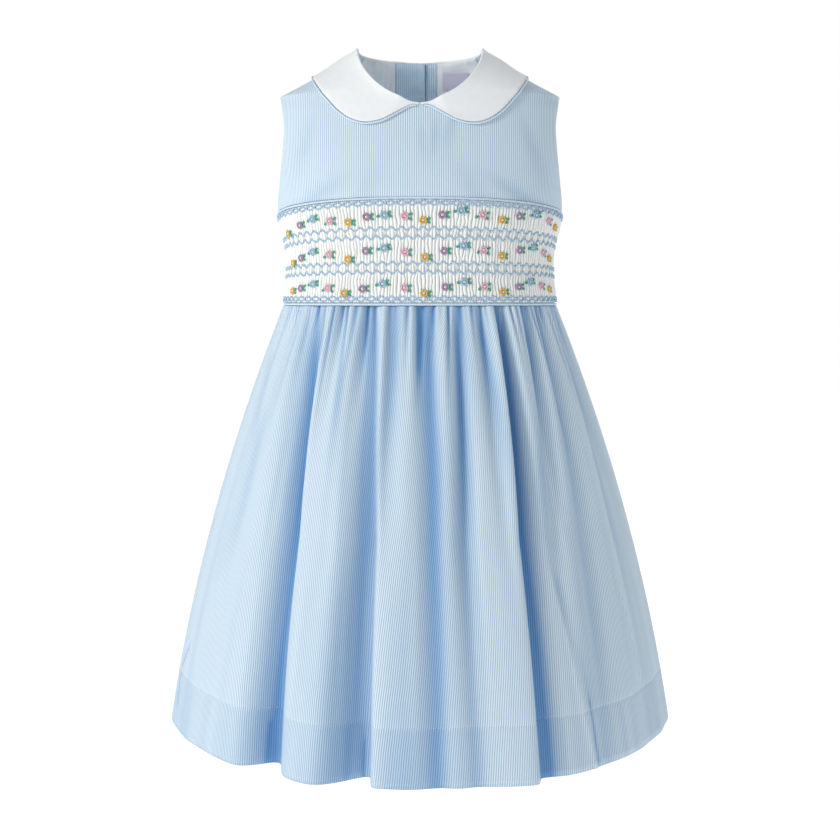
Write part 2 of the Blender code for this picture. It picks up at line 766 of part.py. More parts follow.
def collar_half(sign, name):
    """A collar half and the cord round its outer edge."""
    outer, inner, edge = [], [], []
    columns = neck_columns(sign, COLLAR_COLUMNS)
    for start, out, place in columns:
        width = collar_width(place)
        out_row, in_row = [], []
        for share in COLLAR_ROW_SHARES:
            spot = along_body(start, out, width * share) if share else start
            seat = under_collar(spot) + SEAM_GAP
            roll = mix(COLLAR_FRONT_ROLL, COLLAR_BACK_ROLL, ease(spot.y / COLLAR_LIFT_LENGTH))
            roll *= math.exp(-width * share / COLLAR_ROLL_LENGTH)
            normal = normal_at(spot)
            out_row.append(spot + normal * (seat + CLOTH + roll))
            in_row.append(spot + normal * seat)
        outer.append(out_row)
        inner.append(in_row)
        edge.append(spot)
    wall(f"collar_{name}", outer, inner, WHITE)
    path = []
    for i in range(1, len(edge) - 1):
        aside = (edge[i + 1] - edge[i - 1]).cross(normal_at(edge[i])).normalized()
        if aside.dot(columns[i][1]) < 0:
            aside = -aside
        spot = along_body(edge[i], aside, COLLAR_PIPING_OFF)
        seat = under_collar(spot) + SEAM_GAP + COLLAR_PIPING_RADIUS
        path.append(spot + normal_at(spot) * seat)
    tube(f"collar_piping_{name}", path, COLLAR_PIPING_RADIUS, PIPED)


def flare(share, at_waist, at_hem):
    """A size of the skirt, which bows out a little between the waist and the hem."""
    return at_waist + (at_hem - at_waist) * share * (1 + FLARE_BOW * (1 - share))


def fold_depth(folds, angle, share):
    """How far the cloth lies inside the skirt's plain flare, from all of the folds."""
    total = 0.0
    for at_waist, at_hem, depths, left_widths, right_widths in folds:
        away = angle - mix(at_waist, at_hem, share)
        width = mix(*(left_widths if away < 0 else right_widths), share)
        size = smooth_value(FOLD_LEVELS, depths, share)
        total += size * math.exp(-((away / width) ** 2))
    return total


def skirt_point(side, angle, share, gather):
    """A point of the skirt: the flare, less the folds, plus the small gathers at the waist."""
    roundness = mix(ROUNDNESS, HEM_ROUNDNESS, min(1.0, 2 * share))
    hem_depth = HEM_FRONT_DEPTH if side == FRONT else HEM_BACK_DEPTH
    wide = flare(share, WAIST_HALF_WIDTH, HEM_HALF_WIDTH)
    deep = flare(share, WAIST_DEPTH, hem_depth)
    turn = math.radians(abs(angle))
    x = math.copysign(wide * math.sin(turn) ** (2 / roundness), angle)
    y = deep * max(0.0, math.cos(turn)) ** (2 / roundness)
    out = Vector((x / wide**2, y / deep**2, 0.0)).normalized()
    folds = FRONT_FOLDS if side == FRONT else BACK_FOLDS
    calm = ease((90 - abs(angle)) / FOLD_CALM)
    move = gather * math.exp(-share / GATHER_FADE) - fold_depth(folds, angle, share)
    x += out.x * move * calm
    y += out.y * move * calm
    hem_z = HEM_Z + HEM_SIDE_RISE * ease((abs(angle) - HEM_RISE_FROM) / (90 - HEM_RISE_FROM))
    z = mix(WAIST_Z, hem_z, share)
    return Vector((x, side * max(y, SEAM_GAP / 2), z))


def skirt(name, side, columns_a_gather):
    count = GATHERS_A_SIDE * columns_a_gather
    angles = equal_angles(side, WAIST_Z, count)
    top_gap = PIPING_RADIUS + SEAM_GAP if side == FRONT else SEAM_GAP / 2
    first = top_gap / (WAIST_Z - HEM_Z)
    grid = []
    for share in reversed(SKIRT_LEVELS):
        row = []
        for c, angle in enumerate(angles):
            phase = c % columns_a_gather
            gather = GATHER_HEIGHT if phase == columns_a_gather // 2 else -GATHER_HEIGHT / 2
            row.append(skirt_point(side, angle, max(share, first), gather))
        grid.append(row if side == FRONT else row[::-1])
    hem_share = 1 - HEM_TURN_UP / (WAIST_Z - HEM_Z)
    thick_rows = [r for r, share in enumerate(reversed(SKIRT_LEVELS)) if share >= hem_share]

    def thickness(row):
        return HEM_CLOTH if row in thick_rows else CLOTH

    inside = inner_grid(grid, grid_normals(grid), thickness, (0, -1))
    wall(name, grid, inside, STRIPED)


def main():
    clear_scene()
    front_yoke()
    smocked_panel()
    panel_pipings()
    back_pieces()
    back_buttons()
    collar_half(LEFT, "left")
    collar_half(RIGHT, "right")
    skirt("skirt_front", FRONT, FRONT_COLUMNS_A_GATHER)
    skirt("skirt_back", BACK, BACK_COLUMNS_A_GATHER)


main()
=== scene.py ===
"""A child's sleeveless smocked dress with a round collar, filled out as it is when worn.

The cloth pieces are thin shells worked out in millimetres from the same sizes as the dress's solids,
and turned into metres when a mesh is made. +Z is up, the front faces -Y, and the origin lies between
the two shoulder seams.
"""

import math

import bpy
import numpy as np
from mathutils import Matrix


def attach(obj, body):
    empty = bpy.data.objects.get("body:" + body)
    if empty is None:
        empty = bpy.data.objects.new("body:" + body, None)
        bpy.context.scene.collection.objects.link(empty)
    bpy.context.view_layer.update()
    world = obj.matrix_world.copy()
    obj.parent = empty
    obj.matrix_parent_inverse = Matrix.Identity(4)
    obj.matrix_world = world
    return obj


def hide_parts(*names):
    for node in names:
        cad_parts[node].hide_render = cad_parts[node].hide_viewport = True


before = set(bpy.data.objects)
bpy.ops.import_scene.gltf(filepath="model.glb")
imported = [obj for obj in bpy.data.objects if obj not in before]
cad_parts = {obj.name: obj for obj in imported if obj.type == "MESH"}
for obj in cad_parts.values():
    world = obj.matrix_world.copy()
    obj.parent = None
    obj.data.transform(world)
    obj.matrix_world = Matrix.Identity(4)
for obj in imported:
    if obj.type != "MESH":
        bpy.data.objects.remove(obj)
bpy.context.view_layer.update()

METRES = 0.001
FRONT, BACK = -1, 1
LEFT, RIGHT = 1, -1
SIDE_SEAM = 90.0

# Heights and half widths of the cut
NECK_HALF_WIDTH = 47.0
NECK_SIDE_Z = 17.0
FRONT_NECK_Z = -27.5
FRONT_NECK_POINTED = 1.2
BACK_NECK_Z = 15.0
SHOULDER_TIP_Z = -17.0
UNDERARM_Z = -107.0
ARMHOLE_DEPTH = 31.0
PANEL_TOP_CENTRE_Z = -98.0
WAIST_Z = -175.0
HEM_Z = -507.0
HEM_SIDE_RISE = 10.0
HEM_RISE_FROM = 30.0

# Thicknesses and clearances
CLOTH = 0.8
FACING = 0.7
SOLID_CLOTH = 1.2
SEAM_GAP = 0.3
CLOSED_SEAM = 0.01
LAYER_GAP = 1.0
PIPING_RADIUS = 1.0
COLLAR_PIPING_RADIUS = 0.9
HEM_TURN_UP = 40.0

# Sections of the body under the cloth: height, half width, and depth in front and behind
BODY_SECTIONS = np.array(
    (
        (-175.0, 105.0, 76.0, 76.0),
        (-150.0, 102.4, 76.5, 76.3),
        (-130.0, 103.4, 77.3, 77.0),
        (-118.0, 106.6, 77.5, 77.3),
        (-107.0, 109.0, 77.5, 77.5),
        (-90.0, 111.0, 75.5, 77.0),
        (-60.0, 113.0, 67.5, 73.5),
        (-30.0, 110.4, 56.5, 66.0),
        (-19.0, 107.5, 51.4, 60.9),
        (-17.0, 107.0, 50.5, 60.0),
        (-9.0, 92.0, 46.8, 56.3),
        (0.0, 76.0, 42.0, 51.0),
        (10.6, 60.5, 35.5, 44.5),
        (17.0, 47.0, 31.6, 40.7),
        (30.0, 28.0, 24.0, 35.0),
    )
)
HEIGHTS, HALF_WIDTH, FRONT_DEPTH, BACK_DEPTH = 0, 1, 2, 3
ROUNDNESS = 2.2

# Collar: place along the neck from the nearer end, width
COLLAR_OUTLINE = np.array(
    (
        (0.0, 0.9),
        (7.0, 2.9),
        (13.0, 10.5),
        (19.0, 21.0),
        (25.0, 28.0),
        (31.0, 31.5),
        (37.0, 33.0),
        (50.0, 34.0),
        (62.0, 36.0),
        (75.0, 37.5),
        (90.0, 38.0),
    )
)
COLLAR_END_GAP = 0.4
COLLAR_FRONT_ROLL = 1.8
COLLAR_BACK_ROLL = 0.6
COLLAR_ROLL_LENGTH = 5.0
COLLAR_LIFT_LENGTH = 12.0
COLLAR_CLOTH = 1.3
COLLAR_POINT_CLOTH = 0.5
COLLAR_POINT_REACH = 18.0
ABOVE_NECK = 20.0

# Back opening
LAP_EDGE_X = -10.0
UNDERLAP_EDGE_X = 4.4
UNDERLAP_FACING_X = -19.7
LAP_FACING_X = 13.7
LAP_LIFT = 1.5
LAP_FLAT_X = 6.0
LAP_FADE_X = 26.0
FACING_LOW_Z = -38.0
FACING_SHOULDER_X = 55.0
FACING_SHOULDER_Z = 2.0
FACING_NECK_TURN = 72.0
BUTTON_X = -3.0
BUTTON_HEIGHTS = (-5.0, -48.0, -91.0, -134.0)
BUTTON_RADIUS = 5.5
BUTTON_THICKNESS = 2.4
LABEL_EDGES_X = (18.5, 40.0)
LABEL_EDGES_Z = (-2.5, 11.0)
LABEL_THICKNESS = 0.6

# Skirt
WAIST_HALF_WIDTH = 105.0
WAIST_DEPTH = 76.0
HEM_HALF_WIDTH = 196.0
HEM_DEPTHS = {FRONT: 168.0, BACK: 164.0}
FLARE_BOW = 0.45
HEM_ROUNDNESS = 1.85
FOLD_LEVELS = np.array((0.0, 0.08, 0.35, 0.7, 1.0))
FOLD_CALM = 8.0

# Each skirt fold: its angle from the middle at the waist and at the hem, its depth at each of
# the levels above, and its widths in degrees at the waist and at the hem, on its left and on its
# right. Ridges have negative depths.
FRONT_FOLDS = (
    # at_waist, at_hem, depths, left_widths, right_widths
    (-70.0, -72.0, (0.5, 2.5, 2.0, 1.0, 1.0), (5.0, 5.0), (5.0, 5.0)),
    (-60.0, -57.0, (1.0, 3.5, 3.5, 2.0, 1.0), (5.0, 6.0), (5.0, 5.0)),
    (-47.0, -45.0, (1.0, 3.5, 3.0, 1.0, 0.0), (4.0, 4.0), (3.5, 3.5)),
    (-40.5, -38.5, (2.0, 9.0, 18.0, 21.0, 26.0), (5.5, 3.4), (2.0, 5.0)),
    (-30.0, -37.0, (2.0, 5.0, 1.0, 0.0, 0.0), (3.0, 3.0), (3.0, 3.0)),
    (-20.5, -24.0, (2.0, 4.5, -1.0, -4.0, -5.0), (2.5, 5.0), (3.0, 4.0)),
    (-15.2, -13.3, (2.5, 7.0, 12.0, 19.0, 24.0), (6.0, 5.8), (1.6, 1.3)),
    (-8.5, -12.0, (2.0, 5.0, 4.0, 0.0, 0.0), (2.2, 2.2), (3.5, 3.5)),
    (2.4, 4.8, (2.0, 6.0, 6.0, 5.0, 3.5), (4.0, 4.5), (2.8, 3.2)),
    (13.0, 13.6, (2.5, 8.0, 8.5, 4.0, 2.0), (2.6, 3.0), (2.4, 3.0)),
    (22.0, 26.0, (2.0, 6.0, 4.0, 0.0, 0.0), (2.4, 2.6), (2.4, 3.0)),
    (27.6, 25.6, (0.0, -2.0, -5.0, -6.0, -7.0), (3.0, 7.0), (1.6, 1.6)),
    (35.4, 33.6, (0.0, -2.5, -3.5, -2.0, -1.0), (1.8, 2.6), (2.0, 3.0)),
    (31.6, 28.6, (3.0, 11.0, 17.0, 12.0, 5.0), (2.0, 1.6), (3.4, 6.0)),
    (46.0, 34.0, (2.5, 7.5, 7.0, 1.0, 0.0), (2.6, 3.0), (3.0, 4.0)),
    (56.0, 45.0, (2.0, 6.0, 6.0, 4.0, 1.5), (3.0, 3.6), (3.4, 4.0)),
    (72.0, 64.0, (2.0, 5.0, 6.0, 3.0, 1.0), (4.0, 4.0), (5.0, 5.0)),
    (75.0, 76.0, (1.0, 2.5, 2.0, 1.0, 1.0), (4.0, 4.0), (4.0, 4.0)),
)
BACK_FOLDS = (
    (-71.0, -68.0, (1.5, 4.0, 5.0, 4.0, 3.0), (5.0, 5.0), (6.0, 6.0)),
    (-56.0, -53.0, (2.0, 6.0, 9.0, 11.0, 12.0), (4.0, 4.0), (6.0, 7.0)),
    (-43.0, -46.0, (2.0, 5.0, 3.0, 0.0, 0.0), (3.0, 3.0), (3.0, 3.0)),
    (-33.0, -31.0, (2.5, 8.0, 15.0, 18.0, 21.0), (6.0, 7.0), (2.6, 2.2)),
    (-23.0, -25.0, (2.0, 5.0, 2.0, 0.0, 0.0), (3.0, 3.0), (3.0, 3.0)),
    (-12.0, -13.0, (2.0, 6.0, 7.0, 4.0, 3.0), (3.5, 3.5), (4.5, 4.5)),
    (0.0, 1.0, (2.5, 7.0, 12.0, 15.0, 17.0), (3.0, 2.4), (5.0, 6.0)),
    (11.0, 14.0, (2.0, 5.0, 3.0, 1.0, 0.0), (3.0, 3.0), (3.0, 3.0)),
    (22.0, 24.0, (2.5, 7.0, 9.0, 6.0, 4.0), (4.0, 4.0), (4.0, 4.0)),
    (34.0, 37.0, (2.5, 8.0, 14.0, 18.0, 20.0), (3.0, 2.6), (6.0, 8.0)),
    (47.0, 50.0, (2.0, 5.0, 2.0, 0.0, 0.0), (3.0, 3.0), (3.0, 3.0)),
    (59.0, 58.0, (2.0, 6.0, 8.0, 7.0, 6.0), (5.0, 5.0), (5.0, 5.0)),
    (73.0, 72.0, (1.5, 3.5, 3.0, 2.0, 2.0), (4.0, 4.0), (4.0, 4.0)),
)

# Painted shade down the front's valleys as dark lines: the angle and darkness at each of the levels below, and the
# widths in degrees at the waist and at the hem, on the left and on the right
SHADE_LEVELS = np.array((0.0, 0.08, 0.2, 0.4, 0.7, 1.0))
FRONT_SHADES = (
    # angles, darkness, left_widths, right_widths
    ((-76.5, -76.5, -68.0, -60.0, -68.0, -70.0), (0.1, 0.15, 0.2, 0.15, 0.1, 0.05), (4.0, 6.0), (3.0, 5.0)),
    ((-50.7, -49.7, -46.6, -48.0, -48.0, -48.0), (0.2, 0.2, 0.15, 0.05, 0.0, 0.0), (3.0, 4.0), (2.0, 3.0)),
    ((-43.5, -43.6, -41.0, -40.0, -38.9, -38.7), (0.5, 0.8, 0.95, 0.9, 0.75, 0.8), (3.6, 4.6), (2.2, 3.4)),
    ((-33.5, -34.3, -35.0, -35.0, -35.0, -35.0), (0.4, 0.3, 0.05, 0.0, 0.0, 0.0), (1.8, 2.0), (1.8, 2.0)),
    ((-28.3, -28.3, -26.4, -23.0, -23.0, -23.0), (0.1, 0.15, 0.18, 0.12, 0.0, 0.0), (2.0, 4.0), (2.0, 4.0)),
    ((-21.3, -21.3, -21.3, -21.3, -21.0, -21.0), (0.7, 0.45, 0.1, 0.0, 0.0, 0.0), (1.8, 2.0), (1.8, 2.0)),
    ((-18.0, -17.1, -16.1, -16.4, -18.0, -18.5), (0.6, 0.85, 0.75, 0.7, 0.7, 0.75), (2.6, 6.0), (2.0, 3.2)),
    ((-8.7, -8.8, -9.7, -12.2, -12.5, -12.5), (0.7, 0.6, 0.45, 0.2, 0.0, 0.0), (2.0, 2.4), (2.6, 3.0)),
    ((-4.6, -4.6, -4.6, -4.4, -4.2, -4.8), (0.0, 0.0, 0.0, 0.15, 0.3, 0.4), (3.0, 3.6), (3.0, 3.6)),
    ((2.4, 2.4, 3.2, 4.6, 4.8, 4.2), (0.9, 0.9, 0.85, 0.85, 0.8, 0.75), (3.2, 4.2), (2.4, 3.2)),
    ((13.6, 13.6, 13.4, 13.1, 13.0, 12.8), (1.0, 0.9, 0.9, 0.75, 0.35, 0.3), (2.2, 3.2), (1.8, 2.6)),
    ((20.5, 22.6, 24.1, 25.5, 26.0, 26.0), (0.8, 0.7, 0.6, 0.2, 0.0, 0.0), (2.2, 2.2), (2.0, 2.2)),
    ((32.2, 31.8, 31.9, 30.8, 30.0, 29.4), (0.7, 1.0, 1.2, 1.2, 1.2, 1.2), (2.4, 2.2), (1.9, 2.6)),
    ((46.0, 45.4, 42.4, 37.6, 37.0, 37.0), (0.9, 0.7, 0.55, 0.35, 0.0, 0.0), (2.4, 2.4), (2.2, 2.2)),
    ((57.0, 54.6, 51.8, 49.2, 46.4, 45.8), (0.5, 0.5, 0.5, 0.4, 0.25, 0.2), (2.8, 4.0), (2.4, 3.4)),
    ((74.0, 71.0, 70.7, 66.7, 64.5, 64.5), (0.4, 0.5, 0.5, 0.35, 0.1, 0.0), (3.6, 4.6), (3.0, 4.0)),
)
# How strongly painted shade darkens the valleys, the dark lines and the gathers, and how much fine streaks of
# painted crease shade vary it
VALLEY_SHADE = 0.4
LINE_SHADE = 0.82
GATHER_SHADE = 0.42
PAINTED_CREASE_STREAKS = 0.1

# Fine creases low on the front, with painted shade in them where the darkness is above 0 and a painted highlight
# where it is below 0: angle and share of the height at both ends, width, depth, darkness
FRONT_CREASES = (
    # angle, share, angle, share, width, depth, darkness
    (35.6, 0.55, 41.6, 0.99, 0.55, -0.9, -0.2),
    (59.0, 0.58, 64.5, 0.9, 0.55, -0.9, -0.2),
    (42.2, 0.84, 43.0, 0.99, 0.35, 0.8, 0.5),
    (37.2, 0.56, 43.0, 0.9, 1.6, 0.6, 0.2),
    (-74.0, 0.8, -79.0, 0.87, 0.6, 1.2, 0.4),
    (-79.0, 0.87, -76.0, 0.96, 0.6, 1.0, 0.35),
    (-40.3, 0.9, -40.1, 1.0, 0.4, 0.6, 0.35),
    (-14.6, 0.91, -14.6, 1.0, 0.4, 0.5, 0.3),
)

# Small gathers under the waist seam
GATHERS = 58
GATHER_DEPTHS = (1.2, 3.8)
GATHER_WIDTHS = (0.65, 1.2)
GATHER_REACHES = (0.035, 0.16)
GATHER_BALANCE = 0.7
GATHER_SEEDS = {FRONT: 11, BACK: 23}

# Smocked panel
PLEATS = 116
POINTS_A_PLEAT = 6
PANEL_ROWS = 44
PLEAT_HEIGHT = 1.1
PLEAT_WANDER = 0.8

# Stitch bands over the panel's height, from 0 at its lower seam to 1 at its upper seam, and
# which way each zigzag starts
ZIGZAGS = (
    # low, high, first way
    (0.972, 0.998, 1),
    (0.943, 0.969, -1),
    (0.697, 0.744, 1),
    (0.614, 0.660, -1),
    (0.362, 0.407, 1),
    (0.276, 0.320, -1),
    (0.038, 0.066, 1),
    (0.006, 0.034, -1),
)
ZIGZAG_PLEATS = 3
OPEN_BANDS = ((0.655, 0.70), (0.315, 0.365))

# Each row of roses: the place of its first colour in the order, then each rose's length from the
# panel's middle and its share of the panel's height
ROSE_ROWS = (
    (
        0,
        ((-110.3, 0.756), (-92.0, 0.812), (-78.7, 0.856), (-64.3, 0.82), (-50.4, 0.796), (-36.9, 0.84)),
        ((-24.4, 0.852), (-10.4, 0.84), (2.0, 0.8), (15.2, 0.852), (28.0, 0.896), (43.2, 0.864)),
        ((58.0, 0.824), (71.1, 0.876), (86.0, 0.908), (101.0, 0.872), (113.2, 0.828)),
    ),
    (
        0,
        ((-109.0, 0.428), (-97.0, 0.472), (-83.5, 0.524), (-68.6, 0.488), (-53.2, 0.432), (-39.5, 0.508)),
        ((-26.0, 0.532), (-10.9, 0.492), (3.7, 0.444), (17.4, 0.504), (31.4, 0.556), (46.4, 0.52)),
        ((61.0, 0.468), (76.0, 0.536), (89.6, 0.572), (102.0, 0.532), (113.0, 0.484)),
    ),
    (
        0,
        ((-107.0, 0.124), (-96.0, 0.15), (-83.0, 0.19), (-69.0, 0.148), (-55.5, 0.096), (-41.7, 0.136)),
        ((-27.0, 0.184), (-11.2, 0.144), (2.8, 0.092), (18.1, 0.152), (32.0, 0.204), (47.0, 0.16)),
        ((61.2, 0.108), (74.9, 0.16), (86.5, 0.212), (99.0, 0.176), (111.0, 0.144)),
    ),
)
ROSE_ORDER = ("yellow", "mauve", "light_blue", "pink")

STRIPE = 1.65 * METRES


# Numbers and curves


def mix(start, end, share):
    return start + (end - start) * share


def ease(share):
    share = np.clip(share, 0.0, 1.0)
    return share * share * (3.0 - 2.0 * share)


def bump_curve(away, width):
    return np.exp(-((away / width) ** 2))


def smooth_value(places, values, at):
    """A smooth curve through values given at rising places."""
    places = np.asarray(places, float)
    values = np.asarray(values, float)
    last = len(places) - 1
    at = np.clip(at, places[0], places[last])
    low = np.clip(np.searchsorted(places, at, side="right") - 1, 0, last - 1)
    before = np.maximum(np.arange(last + 1) - 1, 0)
    after = np.minimum(np.arange(last + 1) + 1, last)
    slopes = (values[after] - values[before]) / (places[after] - places[before])
    span = places[low + 1] - places[low]
    share = (at - places[low]) / span
    start = values[low] * (1 + 2 * share) * (1 - share) ** 2
    end = values[low + 1] * (3 - 2 * share) * share**2
    bend = span * share * (1 - share) * (slopes[low] * (1 - share) - slopes[low + 1] * share)
    return start + end + bend


def unit(vectors):
    return vectors / np.maximum(np.linalg.norm(vectors, axis=-1, keepdims=True), 1e-9)


def dot(first, second):
    return (first * second).sum(axis=-1)


def soft_noise(shape, cells, seed):
    """Smooth noise from -1 to 1 over a grid, from a few random values a side."""
    values = np.random.default_rng(seed).uniform(-1, 1, (cells[0] + 2, cells[1] + 2))
    rows = np.linspace(0, cells[0], shape[0])
    columns = np.linspace(0, cells[1], shape[1])
    r, c = np.floor(rows).astype(int), np.floor(columns).astype(int)
    fr = ease(rows - r)[:, None]
    fc = ease(columns - c)[None, :]
    low = values[np.ix_(r, c)] * (1 - fc) + values[np.ix_(r, c + 1)] * fc
    high = values[np.ix_(r + 1, c)] * (1 - fc) + values[np.ix_(r + 1, c + 1)] * fc
    return low * (1 - fr) + high * fr


def smoothed(values, reach):
    """A grid blurred along its columns, by a number of columns."""
    spread = np.arange(-3 * reach, 3 * reach + 1)
    weights = np.exp(-((spread / reach) ** 2))
    weights /= weights.sum()
    padded = np.pad(values, ((0, 0), (3 * reach, 3 * reach)), mode="edge")
    return np.apply_along_axis(lambda row: np.convolve(row, weights, "valid"), 1, padded)


# The body under the cloth


def body_size(z, column):
    return smooth_value(BODY_SECTIONS[:, HEIGHTS], BODY_SECTIONS[:, column], z)


def half_width(z):
    return body_size(z, HALF_WIDTH)


def depth(side, z):
    return body_size(z, FRONT_DEPTH if side == FRONT else BACK_DEPTH)


def points(x, y, z):
    return np.stack(np.broadcast_arrays(x, y, z), axis=-1).astype(float)


def on_body(side, x, z):
    """The body's points in front or behind, as seen straight on at x and z."""
    share = np.minimum(1.0, np.abs(x) / half_width(z))
    out = depth(side, z) * (1.0 - share**ROUNDNESS) ** (1.0 / ROUNDNESS)
    return points(x, side * np.maximum(out, CLOSED_SEAM), z)


def round_body(side, angle, z):
    """The body's points at angles in degrees from the middle of the front or back."""
    turn = np.radians(np.abs(angle))
    x = half_width(z) * np.sin(turn) ** (2 / ROUNDNESS)
    y = depth(side, z) * np.maximum(0.0, np.cos(turn)) ** (2 / ROUNDNESS)
    return points(np.copysign(x, angle), side * np.maximum(y, CLOSED_SEAM), z)


def outside(spots):
    """How far points are past the body's surface, as a plain share: 0 on it."""
    x, y, z = spots[..., 0], spots[..., 1], spots[..., 2]
    deep = np.where(y < 0, depth(FRONT, z), depth(BACK, z))
    return (np.abs(x) / half_width(z)) ** ROUNDNESS + (np.abs(y) / deep) ** ROUNDNESS - 1.0


def steepest(spots):
    step = 0.01
    slopes = []
    for axis in range(3):
        move = np.zeros(3)
        move[axis] = step
        slopes.append((outside(spots + move) - outside(spots - move)) / (2 * step))
    return np.stack(slopes, axis=-1)


def onto_body(spots):
    for _ in range(4):
        gradient = steepest(spots)
        spots = spots - gradient * (outside(spots) / dot(gradient, gradient))[..., None]
    return spots


def normal_at(spots):
    return unit(steepest(spots))


def raised(spots, height):
    """Points on the body, moved out by a height. Those on a side or shoulder seam stay on it."""
    height = np.broadcast_to(height, spots.shape[:-1])
    moved = spots + normal_at(spots) * height[..., None]
    on_seam = np.abs(spots[..., 1]) <= SEAM_GAP
    moved[..., 1] = np.where(on_seam, spots[..., 1], moved[..., 1])
    return moved


def along_body(start, direction, distance):
    """The points reached by walking over the body from each start."""
    count = 16
    spots = start.copy()
    pace = (np.asarray(distance, float) / count)[..., None]
    for _ in range(count):
        normal = normal_at(spots)
        direction = unit(direction - normal * dot(direction, normal)[..., None])
        spots = onto_body(spots + direction * pace)
    return spots


def arc_to(side, x, z):
    """The length of cloth round the body from its middle to x, at each height."""
    samples = 40
    share = np.sin(np.linspace(0, 1, samples) * np.pi / 2)
    share = share.reshape((samples,) + (1,) * np.ndim(x))
    path = on_body(side, share * np.abs(x), np.broadcast_to(z, np.shape(x)))
    length = np.linalg.norm(np.diff(path, axis=0), axis=-1).sum(axis=0)
    return np.copysign(length, x)


def neck_point(side, turn):
    """Points of the neckline, turned from 0 at its middle to 90 degrees at the shoulder."""
    middle = FRONT_NECK_Z if side == FRONT else BACK_NECK_Z
    power = FRONT_NECK_POINTED if side == FRONT else 1.0
    x = NECK_HALF_WIDTH * np.sin(np.radians(turn)) ** power
    z = NECK_SIDE_Z - (NECK_SIDE_Z - middle) * np.cos(np.radians(turn))
    return on_body(side, x, z)


def shoulder_point(side, share):
    z = mix(NECK_SIDE_Z, SHOULDER_TIP_Z, share)
    return on_body(side, half_width(z), z)


def armhole_point(side, share, low_z):
    """Points of the armhole's oval edge, from 0 under the arm to 1 at the shoulder's tip."""
    turn = np.pi * np.asarray(share, float)
    z = mix(low_z, SHOULDER_TIP_Z, (1 - np.cos(turn)) / 2)
    through = ARMHOLE_DEPTH * np.sin(turn) / depth(side, z)
    x = half_width(z) * (1 - through**ROUNDNESS) ** (1 / ROUNDNESS)
    return on_body(side, x, z)


def panel_top_z(angle):
    fall = UNDERARM_Z - PANEL_TOP_CENTRE_Z
    return PANEL_TOP_CENTRE_Z + fall * (1 - np.cos(np.radians(angle)))


def patch(side, bottom, top, left, right, columns, rows):
    """A grid on the body between four edges, which are functions from 0 to 1 seen straight on."""
    u = columns[None, :]
    v = rows[:, None]
    low, high = bottom(columns), top(columns)
    west, east = left(rows), right(rows)
    sums = []
    for axis in (0, 2):
        across = mix(low[:, axis][None, :], high[:, axis][None, :], v)
        along = mix(west[:, axis][:, None], east[:, axis][:, None], u)
        corners_low = mix(low[0, axis], low[-1, axis], u)
        corners_high = mix(high[0, axis], high[-1, axis], u)
        sums.append(across + along - mix(corners_low, corners_high, v))
    return on_body(side, sums[0], sums[1])


# Meshes


def grid_normals(grid):
    """Outward normals of a grid whose rows rise and whose columns run to the viewer's right."""
    across = np.gradient(grid, axis=1)
    up = np.gradient(grid, axis=0)
    return unit(np.cross(across, up))


def inside_of(grid, normals, thickness):
    """The inside of a shell. Points on seams move only within the seam's plane."""
    thickness = np.broadcast_to(thickness, grid.shape[:2])
    inner = grid - normals * thickness[..., None]
    on_seam = np.abs(grid[..., 1]) <= SEAM_GAP
    inner[..., 1] = np.where(on_seam, grid[..., 1], inner[..., 1])
    return inner


class Pieces:
    """Points, faces and cloth coordinates that are gathered into one joined mesh."""

    def __init__(self):
        self.spots, self.faces, self.uvs, self.looks, self.smooth = [], [], [], [], []
        self.shades = []
        self.count = 0

    def add(self, spots, faces, uvs, look=0, smooth=True, shades=None):
        faces = np.asarray(faces)
        self.spots.append(np.asarray(spots, float).reshape(-1, 3))
        self.faces.append(faces + self.count)
        self.uvs.append(np.asarray(uvs, float).reshape(-1, 2))
        self.looks.append(np.full(len(faces), look))
        self.smooth.append(np.broadcast_to(smooth, (len(faces),)))
        amount = len(self.spots[-1])
        self.shades.append(np.zeros(amount) if shades is None else np.asarray(shades).ravel())
        self.count += amount

    def make(self, name, materials):
        spots = np.concatenate(self.spots) * METRES
        faces = np.concatenate(self.faces)
        mesh = bpy.data.meshes.new(name)
        mesh.vertices.add(len(spots))
        mesh.vertices.foreach_set("co", spots.ravel())
        mesh.loops.add(faces.size)
        mesh.loops.foreach_set("vertex_index", faces.ravel().astype(np.int32))
        mesh.polygons.add(len(faces))
        mesh.polygons.foreach_set("loop_start", np.arange(0, faces.size, 4, dtype=np.int32))
        mesh.polygons.foreach_set("material_index", np.concatenate(self.looks).astype(np.int32))
        mesh.polygons.foreach_set("use_smooth", np.concatenate(self.smooth).astype(bool))
        mesh.update(calc_edges=True)
        cloth_uvs = mesh.uv_layers.new(name="cloth")
        cloth_uvs.data.foreach_set("uv", np.concatenate(self.uvs)[faces.ravel()].ravel())
        # The shade value at each point, which the materials read to paint shade into the colour.
        shade = mesh.attributes.new("shade", "FLOAT", "POINT")
        shade.data.foreach_set("value", np.concatenate(self.shades).astype(np.float32))
        mesh.validate()
        for look in materials:
            mesh.materials.append(look)
        obj = bpy.data.objects.new(name, mesh)
        bpy.context.scene.collection.objects.link(obj)
        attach(obj, "root")
        return obj


def grid_faces(rows, columns):
    index = np.arange(rows * columns).reshape(rows, columns)
    low, right = index[:-1, :-1], index[:-1, 1:]
    across, up = index[1:, 1:], index[1:, :-1]
    return np.stack([low, right, across, up], axis=-1).reshape(-1, 4)


def rim_faces(rows, columns):
    """Faces round the edge of a shell, between its outer grid and the inner grid after it."""
    index = np.arange(rows * columns).reshape(rows, columns)
    loop = np.concatenate([index[0, :], index[1:, -1], index[-1, -2::-1], index[-2:0:-1, 0]])
    ahead = np.roll(loop, -1)
    inner = rows * columns
    return np.stack([loop, loop + inner, ahead + inner, ahead], axis=-1)


def shell_volume(outer, inner):
    """Above 0 where the outer grid lies on the outside of its own winding."""
    return dot(grid_normals(outer), outer - inner).mean()


